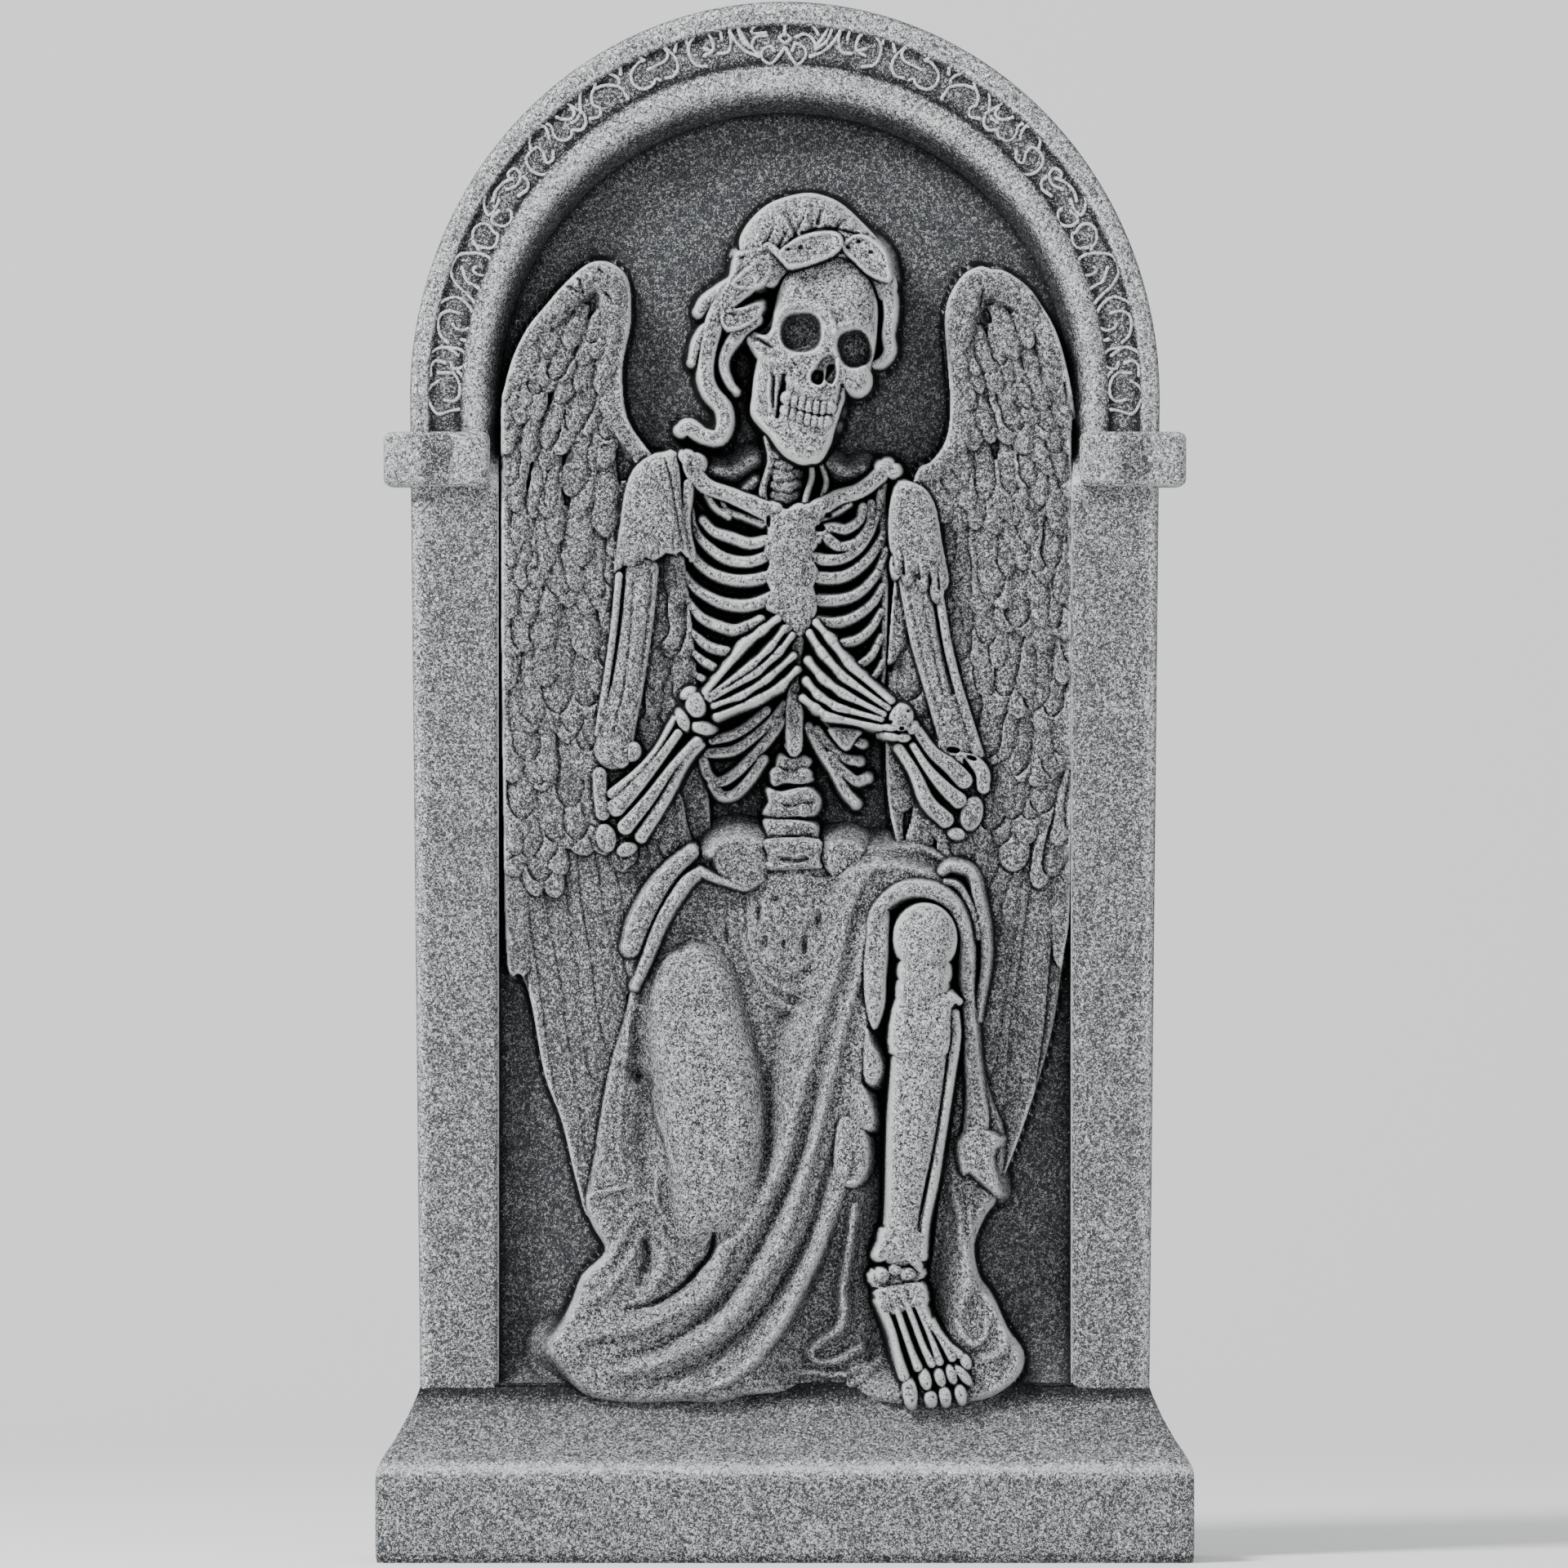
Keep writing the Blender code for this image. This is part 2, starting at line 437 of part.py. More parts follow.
def leg(r):
    # shin, knee and foot of the bent leg
    r.bone([(169, 550, 152, 33), (170, 510, 148, 29), (169, 460, 142, 26), (166, 400, 138, 27),
            (161, 332, 134, 26), (151, 262, 130, 22), (143, 192, 124, 17), (139, 155, 122, 19)], flat=0.8)
    r.dome(169, 554, 36, 36, 156, 26)
    r.bone([(189, 380, 118, 7), (181, 300, 118, 7), (171, 230, 116, 7), (163, 160, 116, 8)], flat=0.8)
    # heel and instep
    r.patch([(113, 150), (137, 160), (163, 148), (179, 100), (205, 50), (223, 10), (189, 0), (145, 0),
             (125, 60), (113, 110)], lambda x, z: np.interp(z, [0, 150], [112, 116]), 14, 20)
    toes = (((123, 118), (133, 60), (145, 10), (150, -22)),
            ((133, 122), (149, 64), (165, 18), (177, -14)),
            ((142, 124), (163, 70), (183, 22), (195, -11)),
            ((151, 126), (177, 74), (201, 28), (213, -6)), ((159, 128), (189, 78), (215, 34), (227, 6)))
    for k, (a, b, c, d) in enumerate(toes):
        wide = (8.5, 6, 5.8, 5.6, 5.4)[k]
        r.bone([(*a, 124, wide), (*b, 124, wide * 0.8), (*c, 126, wide), (*d, 128, wide * 0.95)])


def arms(r):
    # upper arms
    r.bone([(-169, 1010, 84, 21), (-177, 940, 86, 20), (-191, 860, 86, 19), (-207, 795, 86, 21),
            (-211, 770, 84, 23)], flat=0.8)
    r.bone([(161, 1000, 84, 22), (174, 930, 86, 19), (189, 860, 86, 18), (204, 810, 86, 20),
            (211, 782, 84, 22)], flat=0.8)
    # elbow ends
    r.bone([(-225, 750, 80, 10), (-227, 715, 82, 10)])
    r.dome(-218, 673, 13, 16, 84, 14)
    r.bone([(242, 760, 80, 9), (239, 725, 82, 9), (231, 700, 84, 10)])
    r.dome(209, 682, 14, 12, 86, 14)
    # fore arms, each of parted bones that spread to the elbow
    for pts in ([(-119, 816, 104, 8), (-155, 782, 98, 7), (-191, 752, 92, 8), (-211, 736, 90, 9)],
                [(-109, 806, 106, 7), (-141, 766, 100, 7), (-177, 730, 96, 10), (-199, 710, 92, 14)],
                [(-93, 800, 104, 6), (-119, 756, 98, 6), (-149, 710, 94, 8), (-175, 676, 90, 10)],
                [(-86, 795, 100, 5), (-111, 744, 94, 5), (-139, 690, 88, 7), (-171, 660, 86, 8)]):
        r.bone(pts)
    for pts in ([(149, 814, 104, 8), (179, 788, 98, 7), (211, 762, 92, 9), (229, 748, 90, 12)],
                [(139, 800, 106, 6.5), (169, 765, 100, 6.5), (195, 738, 96, 8), (217, 716, 92, 11)],
                [(131, 792, 104, 6), (159, 750, 98, 6), (185, 715, 94, 7), (205, 692, 90, 9)]):
        r.bone(pts)
    # wrists
    for x, z, w in ((-115, 832, 11), (-97, 826, 10), (-107, 812, 10), (143, 818, 12), (127, 808, 9),
                    (137, 798, 9)):
        r.dome(x, z, w, w * 0.9, 116, 10)
    # fingers
    left = ([(-103, 842), (-65, 882), (-37, 916), (-9, 940)],
            [(-99, 838), (-55, 872), (-23, 904), (5, 930)],
            [(-95, 832), (-45, 860), (-13, 888), (15, 916)],
            [(-91, 828), (-37, 846), (-5, 872), (19, 898)],
            [(-95, 818), (-65, 820), (-33, 828), (1, 858)])
    right = ([(137, 832), (95, 874), (63, 906), (39, 932)],
             [(133, 826), (85, 858), (51, 888), (33, 914)],
             [(129, 820), (79, 844), (45, 870), (27, 894)],
             [(125, 814), (73, 828), (41, 850), (25, 874)], [(123, 806), (79, 810), (47, 826), (21, 848)])
    for group in (left, right):
        for k, f in enumerate(group):
            tops = (112, 114, 116, 110)
            r.bone([(x, y, t - 1.5 * k, w) for (x, y), t, w in zip(f, tops, (5.2, 5.4, 5.2, 4.4))],
                   flat=1.1)


def capes(r):
    # worn cloth caps over the shoulders with a ragged fringe
    r.patch([(-186, 1124), (-155, 1144), (-127, 1144), (-119, 1100), (-115, 1036), (-123, 1016),
             (-165, 1010), (-209, 998), (-203, 1050), (-199, 1090)],
            lambda x, z: 96 - 0.006 * (x + 160) ** 2, 22, 26)
    r.patch([(125, 1126), (147, 1110), (177, 1094), (187, 1060), (193, 1024), (201, 980), (165, 1000),
             (133, 1022), (127, 1080)], lambda x, z: 96 - 0.006 * (x - 158) ** 2, 20, 26)


def head(r):
    lay = r.layer()
    # skull cap of hair
    lay.dome(42, 1366, 97, 97, 118, 50)
    # brain case and face
    lay.patch([(-31, 1360), (-1, 1400), (49, 1410), (99, 1400), (123, 1360), (119, 1315), (109, 1270),
               (101, 1230), (79, 1212), (69, 1196), (57, 1160), (45, 1140), (24, 1134), (1, 1146),
               (-31, 1185), (-37, 1230), (-45, 1288), (-37, 1315)],
              lambda x, z: 126 + 8 * smooth((1320 - z) / 180) - 0.004 * (x - 40) ** 2, 30, 34)
    # brow
    lay.bone([(-16, 1304, 126, 10), (4, 1320, 134, 11), (34, 1316, 138, 11), (54, 1300, 138, 10)],
             flat=0.9)
    lay.bone([(59, 1298, 136, 10), (79, 1306, 134, 10), (103, 1298, 126, 9)], flat=0.9)
    # sockets
    lay.pit(21, 1291, 26, 27, 44)
    lay.pit(85, 1276, 23, 23, 42, turn=8)
    # nose opening
    lay.pit(47, 1244, 15, 22, 34, turn=20)
    # cheek bones
    lay.dome(-25, 1266, 22, 16, 122, 16)
    lay.dome(85, 1234, 20, 20, 126, 18)
    # hollow cheek, jaw
    lay.pit(-6, 1220, 12, 26, 36, turn=8)
    lay.pit(69, 1200, 8, 16, 20)
    lay.bone([(-33, 1240, 112, 6), (-33, 1195, 114, 7), (-11, 1162, 122, 9), (14, 1146, 130, 11),
              (39, 1146, 130, 10), (57, 1170, 124, 7)], flat=0.9)
    # teeth block
    lay.patch([(1, 1222), (29, 1216), (61, 1202), (53, 1172), (24, 1180), (-3, 1192)], 138, 8, 8)
    r.add(lay)
    # wreath
    r.patch([(-24, 1394), (-1, 1408), (34, 1412), (63, 1409), (57, 1386), (31, 1374), (4, 1372),
             (-11, 1382)], 142, 9, 8)
    r.patch([(69, 1403), (94, 1400), (119, 1380), (130, 1348), (105, 1360), (79, 1382)], 134, 9, 8)
    r.bone([(-56, 1391, 112, 5), (-24, 1395, 132, 6)])
    r.bone([(24, 1414, 132, 6), (79, 1416, 128, 6), (111, 1400, 118, 6), (135, 1350, 104, 6)])
    # locks at the left of the picture
    locks = ([(-23, 1382, 124, 13), (-49, 1350, 118, 17), (-76, 1324, 108, 16), (-95, 1302, 100, 13),
              (-103, 1270, 94, 12), (-95, 1238, 92, 12), (-77, 1206, 92, 12), (-71, 1176, 90, 10),
              (-99, 1154, 88, 9), (-123, 1166, 84, 7)],
             [(-56, 1388, 110, 10), (-63, 1355, 108, 11), (-85, 1338, 98, 10), (-109, 1316, 90, 9),
              (-113, 1290, 84, 8)], [(-35, 1344, 118, 10), (-53, 1308, 108, 12), (-61, 1270, 100, 11),
                                     (-59, 1230, 98, 9), (-65, 1195, 96, 8), (-77, 1160, 92, 8),
                                     (-89, 1148, 88, 7)],
             [(119, 1360, 112, 9), (135, 1334, 104, 9), (129, 1302, 100, 8), (121, 1280, 98, 7),
              (137, 1266, 96, 7), (119, 1252, 94, 7)])
    for pts in locks:
        r.bone(pts, flat=0.9)


def figure(r):
    wing(r, -1)
    wing(r, 1)
    torso(r)
    spine(r)
    robe(r)
    leg(r)
    arms(r)
    capes(r)
    head(r)


def stations():
    # the front's profile from the outer edge (share 0) to the niche (share 1): share,
    # y on the arch, y on the pilasters below it
    face, band = FACE_Y, FACE_Y + BAND_DEPTH
    roll = FACE_Y - 0.6 * BAND_DEPTH
    return [(0.0, SLAB_BACK_Y, SLAB_BACK_Y), (0.0, face + EDGE_ROUND, face + EDGE_ROUND),
            (0.03, face + 0.3 * EDGE_ROUND, face + 0.3 * EDGE_ROUND), (0.09, face, face),
            (BAND_START - 0.02, face, face), (BAND_START, band, face), (BAND_END, band, face),
            (BAND_END + 0.02, face, face), (0.68, roll, face), (0.78, face, face),
            (0.86, face + 0.2 * NICHE_DEPTH, face), (0.92, face + 0.5 * NICHE_DEPTH, face),
            (0.975, face + 0.82 * NICHE_DEPTH, face), (1.0, PANEL_Y, PANEL_Y)]


def front_point(share, angle):
    # a point of the arch, at its share of the way in and its angle about the spring line
    half = SLAB_WIDTH / 2 + share * (NICHE_WIDTH - SLAB_WIDTH) / 2
    rise = HEIGHT - SPRING_HEIGHT + share * (NICHE_TOP - HEIGHT)
    return half * np.cos(angle), SPRING_HEIGHT + rise * np.sin(angle)


def front_outline(share):
    # one line round the front, from the left foot over the arch to the right foot
    half_foot = SLAB_FOOT_WIDTH / 2 + share * (NICHE_WIDTH - SLAB_FOOT_WIDTH) / 2
    half = SLAB_WIDTH / 2 + share * (NICHE_WIDTH - SLAB_WIDTH) / 2
    legs = [SLAB_FOOT_Z] + [IMPOST_BASE + s * IMPOST_HEIGHT for s in (0.1, 0.5, 0.9)]
    climb = (np.array(legs) - PLINTH_HEIGHT) / (SPRING_HEIGHT - PLINTH_HEIGHT)
    left = [(-(half_foot + s * (half - half_foot)), z) for s, z in zip(climb, legs)]
    angles = np.pi * (1 - np.arange(ARCH_PIECES + 1) / ARCH_PIECES)
    right = [(-x, z) for x, z in reversed(left)]
    return left + [front_point(share, a) for a in angles] + right


def mesh_object(name, bm, collection):
    bmesh.ops.recalc_face_normals(bm, faces=bm.faces)
    mesh = bpy.data.meshes.new(name)
    bm.to_mesh(mesh)
    bm.free()
    obj = bpy.data.objects.new(name, mesh)
    collection.objects.link(obj)
    return obj


def skin(bm, rows, closed=False):
    # quads between rows of vertices
    for lower, upper in zip(rows[:-1], rows[1:]):
        count = len(lower)
        for i in range(count if closed else count - 1):
            j = (i + 1) % count
            bm.faces.new((lower[i], lower[j], upper[j], upper[i]))


def slab(collection):
    # the outer edge is a half ellipse and the niche a half circle, so the front is a loft
    # between unlike outlines
    bm = bmesh.new()
    rows = []
    for share, arch_y, leg_y in stations():
        row = []
        for x, z in front_outline(share):
            up = smooth((z - IMPOST_BASE) / IMPOST_HEIGHT)
            row.append(bm.verts.new((x, leg_y + up * (arch_y - leg_y), z)))
        rows.append(row)
    skin(bm, rows)
    bm.faces.new(rows[0])
    bm.faces.new(rows[-1])
    bm.faces.new([row[0] for row in rows] + [row[-1] for row in reversed(rows)])
    return mesh_object("tombstone", bm, collection)


def plinth(collection):
    # rectangles with round front corners, one above the other: upright, a rounded edge,
    # then a flare up to the slab's foot
    flare_x = (PLINTH_WIDTH - SLAB_FOOT_WIDTH) / 2
    flare_y = FACE_Y - PLINTH_FRONT_Y
    climb = PLINTH_HEIGHT - PLINTH_EDGE_HEIGHT
    sections = [(0.02, 0.0), (0.0, 0.06 * PLINTH_EDGE_HEIGHT), (0.0, 0.9 * PLINTH_EDGE_HEIGHT)]
    sections += [(share, PLINTH_EDGE_HEIGHT + up * climb) for share, up in
                 ((0.03, 0.0), (0.13, 0.1), (0.40, 0.31), (0.72, 0.62), (0.93, 0.87), (1.04, 1.03))]
    turns = np.radians([0, 30, 60, 90])
    bm = bmesh.new()
    rows = []
    for share, z in sections:
        half = PLINTH_WIDTH / 2 - share * flare_x
        front = PLINTH_FRONT_Y + share * flare_y
        right = [(half - PLINTH_CORNER * (1 - np.cos(a)), front + PLINTH_CORNER * (1 - np.sin(a)))
                 for a in turns]
        ring = [(-half, BACK_Y), (half, BACK_Y)] + right + [(-x, y) for x, y in reversed(right)]
        rows.append([bm.verts.new((x, y, z)) for x, y in ring])
    skin(bm, rows, closed=True)
    bm.faces.new(rows[0])
    bm.faces.new(rows[-1])
    return mesh_object("plinth_block", bm, collection)


def ledge_cove(collection):
    # the niche's floor, hollowed from the panel out to the plinth's top
    reach = NICHE_WIDTH / 2 + SINK
    steps = np.linspace(0, 1, 7)
    profile = [(PANEL_Y - NICHE_DEPTH * t, PLINTH_HEIGHT + LEDGE_COVE_HEIGHT * (1 - t) ** 2) for t in steps]
    profile += [(FACE_Y, SLAB_FOOT_Z), (PANEL_Y + SINK, SLAB_FOOT_Z),
                (PANEL_Y + SINK, PLINTH_HEIGHT + LEDGE_COVE_HEIGHT)]
    bm = bmesh.new()
    rows = [[bm.verts.new((x, y, z)) for y, z in profile] for x in (-reach, reach)]
    skin(bm, rows, closed=True)
    bm.faces.new(rows[0])
    bm.faces.new(rows[-1])
    return mesh_object("ledge_block", bm, collection)


def impost(side, collection):
    # a rounded block that wraps the slab's side at the foot of the arch
    inner = NICHE_WIDTH / 2 + IMPOST_INSET
    back = SLAB_BACK_Y - IMPOST_BACK_GAP
    front = FACE_Y - IMPOST_PROUD
    bpy.ops.mesh.primitive_cube_add(size=1)
    obj = bpy.context.object
    obj.name = "impost_block_left" if side < 0 else "impost_block_right"
    for v in obj.data.vertices:
        v.co.x = side * (inner + IMPOST_WIDTH / 2) + v.co.x * IMPOST_WIDTH
        v.co.y = (front + back) / 2 + v.co.y * (back - front)
        v.co.z = IMPOST_BASE + (0.5 + v.co.z) * IMPOST_HEIGHT
    bevel = obj.modifiers.new("round", "BEVEL")
    bevel.width = IMPOST_ROUND
    bevel.segments = 2
    move_to(obj, collection)
    return obj


def move_to(obj, collection):
    for held in list(obj.users_collection):
        held.objects.unlink(obj)
    collection.objects.link(obj)


def scrolls(collection):
    # C-shaped wires in the band, opening outwards and inwards by turns, mirrored about
    # the crown; one curve object holds them all and is then made a mesh
    curve = bpy.data.curves.new("scroll_wires", "CURVE")
    curve.dimensions = "3D"
    curve.bevel_depth = SCROLL_WIRE
    curve.bevel_resolution = 0
    curve.use_fill_caps = True
    middle = (BAND_START + BAND_END) / 2
    wire_y = FACE_Y + BAND_DEPTH - 0.4 * SCROLL_WIRE
    sweep = np.radians(np.linspace(-SCROLL_SWEEP / 2, SCROLL_SWEEP / 2, SCROLL_POINTS))
    for k in range(SCROLLS_A_SIDE):
        for side in (-1, 1):
            angle = np.pi / 2 - side * (k + 0.5) * (np.pi / 2 - SCROLL_END_ANGLE) / SCROLLS_A_SIDE
            x, z = front_point(middle, angle)
            opening = 1 if k % 2 else -1
            out = SCROLL_RADIUS * np.cos(sweep) * opening
            along = SCROLL_RADIUS * np.sin(sweep)
            spline = curve.splines.new("POLY")
            spline.points.add(SCROLL_POINTS - 1)
            for point, n, t in zip(spline.points, out, along):
                point.co = (x + n * np.cos(angle) - t * np.sin(angle), wire_y,
                            z + n * np.sin(angle) + t * np.cos(angle), 1)
    wires = bpy.data.objects.new("scroll_wires", curve)
    collection.objects.link(wires)
    graph = bpy.context.evaluated_depsgraph_get()
    mesh = bpy.data.meshes.new_from_object(wires.evaluated_get(graph))
    bm = bmesh.new()
    bm.from_mesh(mesh)
    bmesh.ops.remove_doubles(bm, verts=bm.verts, dist=1e-6)
    bpy.data.objects.remove(wires)
    bpy.data.meshes.remove(mesh)
    return mesh_object("scroll_block", bm, collection)


def carving(collection):
    # the figure's height field, closed by a flat back inside the slab
    edge = DRAWING_WIDTH / 2 + 6
    relief = Relief(-edge, edge, DRAWING_FOOT, DRAWING_HEAD, GRID_STEP, GROUND_LEVEL)
    figure(relief)
    cols, rows = len(relief.xs), len(relief.zs)
    bm = bmesh.new()
    bmesh.ops.create_grid(bm, x_segments=cols - 1, y_segments=rows - 1, size=0.5)
    rim = [e for e in bm.edges if e.is_boundary]
    walls = bmesh.ops.extrude_edge_only(bm, edges=rim)["geom"]
    back = [v for v in walls if isinstance(v, bmesh.types.BMVert)]
    for v in bm.verts:
        i = int(round((v.co.x + 0.5) * (cols - 1)))
        j = int(round((v.co.y + 0.5) * (rows - 1)))
        v.co.x = relief.xs[i] * UNIT_X
        v.co.y = PANEL_Y - relief.h[j, i] * UNIT_Y
        v.co.z = PLINTH_HEIGHT + relief.zs[j] * UNIT_Z
    for v in back:
        v.co.y = PANEL_Y + RELIEF_ROOT
    bmesh.ops.holes_fill(bm, edges=[e for e in bm.edges if e.is_boundary], sides=0)
    obj = mesh_object("relief_block", bm, collection)
    thin = obj.modifiers.new("thin", "DECIMATE")
    thin.ratio = RELIEF_TRIANGLES / (2 * (cols - 1) * (rows - 1))
    return obj


def painted_foam():
    material = bpy.data.materials.new("painted_foam")
    material.use_nodes = True
    shader = material.node_tree.nodes["Principled BSDF"]
    shader.inputs["Base Color"].default_value = (0.22, 0.225, 0.23, 1)
    shader.inputs["Roughness"].default_value = 0.85
    shader.inputs["Metallic"].default_value = 0.0
    return material


def main():
    for obj in list(bpy.data.objects):
        bpy.data.objects.remove(obj)
    parts = bpy.data.collections.new("cemetery_angel_tombstone")
    blocks = bpy.data.collections.new("tombstone_blocks")
    for collection in (parts, blocks):
        bpy.context.scene.collection.children.link(collection)
    stone = slab(parts)
    joined = [plinth(blocks), ledge_cove(blocks), impost(-1, blocks), impost(1, blocks),
              scrolls(blocks), carving(blocks)]
    for block in joined:
        block.hide_render = True
        block.display_type = "WIRE"
        union = stone.modifiers.new(block.name, "BOOLEAN")
        union.operation = "UNION"
        union.solver = "EXACT"
        union.object = block
    stone.data.materials.append(painted_foam())
    return stone


main()
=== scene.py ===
import bmesh
import bpy
import numpy as np
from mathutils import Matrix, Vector


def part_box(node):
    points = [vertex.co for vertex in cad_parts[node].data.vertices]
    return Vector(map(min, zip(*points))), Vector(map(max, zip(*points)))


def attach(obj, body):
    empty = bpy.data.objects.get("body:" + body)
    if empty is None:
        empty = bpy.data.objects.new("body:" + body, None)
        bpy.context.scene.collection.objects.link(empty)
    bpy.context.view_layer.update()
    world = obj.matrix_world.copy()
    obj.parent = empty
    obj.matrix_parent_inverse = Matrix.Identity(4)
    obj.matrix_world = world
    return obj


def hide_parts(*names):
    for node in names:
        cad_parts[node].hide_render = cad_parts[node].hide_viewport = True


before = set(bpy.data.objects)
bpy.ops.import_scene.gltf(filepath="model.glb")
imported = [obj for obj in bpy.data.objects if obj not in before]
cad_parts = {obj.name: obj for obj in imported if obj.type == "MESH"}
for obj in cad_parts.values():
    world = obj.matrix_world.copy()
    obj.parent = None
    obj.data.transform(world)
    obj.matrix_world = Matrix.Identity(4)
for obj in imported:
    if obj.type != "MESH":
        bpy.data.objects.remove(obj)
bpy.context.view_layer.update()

# The stone's own sizes, in metres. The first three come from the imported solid.
solidLow, solidHigh = (np.array(corner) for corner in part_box("tombstone"))
stone = dict(
    height=float(solidHigh[2]),
    plinthWidth=float(solidHigh[0] - solidLow[0]),
    plinthDepth=float(solidHigh[1] - solidLow[1]),
    slabWidth=0.440,
    slabFootWidth=0.428,
    slabBackY=0.063,
    faceY=-0.010,
    springHeight=0.6815,   # where the straight sides become the arch
    nicheWidth=0.335,
    nicheTop=0.849,
    panelY=0.020,          # the niche's flat back
    reliefDepth=0.0748,
    plinthEdge=0.055,      # height of the plinth's upright rim
    plinthHeight=0.1023,
    plinthCorner=0.006,
    ledgeCove=0.028,
)


# The figure is drawn on a sheet 1920 units wide and high, x to the right and y down, one unit about
# half a millimetre. A layer is a height map over the part of the sheet that the niche takes, in the
# same units, measured outwards from the niche's flat back.
sheet = dict(
    left=600, right=1322, top=228, bottom=1742,  # the part of the sheet that is drawn on
    middle=961,        # x of the stone's centre line
    foot=1700,         # y of the front edge of the niche's floor
    floor=-9.0,        # height of an empty layer, behind the niche's back
    steepest=13.0,     # fall of a side wall, units for each unit across
)
cols = np.arange(sheet["left"], sheet["right"] + 1.0)
rows = np.arange(sheet["top"], sheet["bottom"] + 1.0)


def newLayer():
    return np.full((len(rows), len(cols)), sheet["floor"])


def smooth(t):  # the S curve 3t^2 - 2t^3 between 0 and 1
    t = np.clip(t, 0, 1)
    return t * t * (3 - 2 * t)


def bend(points, pieces=5, closed=False):  # Catmull-Rom curve through the points, so many pieces a span
    p = np.asarray(points, float)
    if closed:
        ext = np.vstack([p[-1:], p, p[:2]])
    else:
        ext = np.vstack([2 * p[:1] - p[1:2], p, 2 * p[-1:] - p[-2:-1]])
    t = (np.arange(pieces) / pieces)[None, :, None]
    a, b, c, d = (ext[i:len(ext) - 3 + i][:, None, :] for i in range(4))
    run = 2 * b + (c - a) * t + (2 * a - 5 * b + 4 * c - d) * t ** 2 + (3 * b - a - 3 * c + d) * t ** 3
    run = 0.5 * run.reshape(-1, p.shape[1])
    return run if closed else np.vstack([run, p[-1:]])


def blur(field, sigma):  # Gaussian blur, first along the rows and then along the columns
    reach = max(1, int(round(2.6 * sigma)))
    weights = np.exp(-0.5 * (np.arange(-reach, reach + 1) / sigma) ** 2)
    weights /= weights.sum()
    for axis in (0, 1):
        size = field.shape[axis]
        pad = [(reach, reach) if n == axis else (0, 0) for n in (0, 1)]
        wide = np.pad(field, pad, mode="edge")
        parts = [wide[i:i + size] if axis == 0 else wide[:, i:i + size] for i in range(len(weights))]
        field = sum(w * part for w, part in zip(weights, parts))
    return field


def window(path, reach):  # the stretch of the sheet within reach of a path, as slices and coordinates
    low, high = path[:, :2].min(axis=0) - reach, path[:, :2].max(axis=0) + reach
    i0, i1 = np.searchsorted(cols, [low[0], high[0]])
    j0, j1 = np.searchsorted(rows, [low[1], high[1]])
    x, y = np.meshgrid(cols[i0:i1], rows[j0:j1])
    return (slice(j0, j1), slice(i0, i1)), x, y


def toPath(path, x, y):
    # distance to the nearest point of a path, the path's further columns there, and the side as a sign
    best = np.full(x.shape, 1e9)
    carried = np.zeros(x.shape + (path.shape[1] - 2,))
    side = np.ones(x.shape)
    for a, b in zip(path[:-1], path[1:]):
        run, rise = b[0] - a[0], b[1] - a[1]
        t = np.clip(((x - a[0]) * run + (y - a[1]) * rise) / (run * run + rise * rise + 1e-9), 0, 1)
        away = np.hypot(x - a[0] - t * run, y - a[1] - t * rise)
        near = away < best
        best = np.where(near, away, best)
        side = np.where(near, np.sign((x - a[0]) * rise - (y - a[1]) * run), side)
        carried = np.where(near[..., None], a[2:] + t[..., None] * (b[2:] - a[2:]), carried)
    return best, carried, side


def rod(layer, points, roundness=0.9, slope=None, pieces=5):
    # a bone or cord: points are x, y, top, radius; circular across, its height flattened by roundness,
    # then a straight fall at the slope
    slope = slope or sheet["steepest"]
    path = bend(points, pieces) if len(points) > 2 else np.asarray(points, float)
    for a, b in zip(path[:-1], path[1:]):
        reach = max(a[3], b[3]) + (max(a[2], b[2]) - sheet["floor"]) / slope
        where, x, y = window(np.array([a, b]), reach)
        if not x.size:
            continue
        run, rise = b[0] - a[0], b[1] - a[1]
        t = np.clip(((x - a[0]) * run + (y - a[1]) * rise) / (run * run + rise * rise + 1e-9), 0, 1)
        away = np.hypot(x - a[0] - t * run, y - a[1] - t * rise)
        radius = a[3] + t * (b[3] - a[3])
        top = a[2] + t * (b[2] - a[2])
        crown = top - roundness * radius * (1 - np.sqrt(np.clip(1 - (away / radius) ** 2, 0, 1)))
        value = np.where(away < radius, crown, top - roundness * radius - slope * (away - radius))
        layer[where] = np.maximum(layer[where], value)


def chain(layer, points, gap=0.16, knob=1.25, **shape):
    # finger bones end to end: each span is a rod of its own, waisted in the middle and parted by a gap
    p = np.asarray(points, float)
    for a, b in zip(p[:-1], p[1:]):
        cut = min(gap, 2.2 / (np.hypot(*(b - a)[:2]) + 1e-9))
        start, end = a + (b - a) * cut, b - (b - a) * cut
        middle = 0.5 * (start + end)
        middle[3] *= 0.82
        start[3] *= knob
        end[3] *= knob
        rod(layer, [start, middle, end], **shape)


def within(outline, x, y):  # even-odd rule: True inside the closed outline
    odd = np.zeros(x.shape, bool)
    for a, b in zip(outline, np.roll(outline, -1, axis=0)):
        if a[1] != b[1]:
            crosses = (a[1] > y) != (b[1] > y)
            odd ^= crosses & (x < (b[0] - a[0]) * (y - a[1]) / (b[1] - a[1]) + a[0])
    return odd


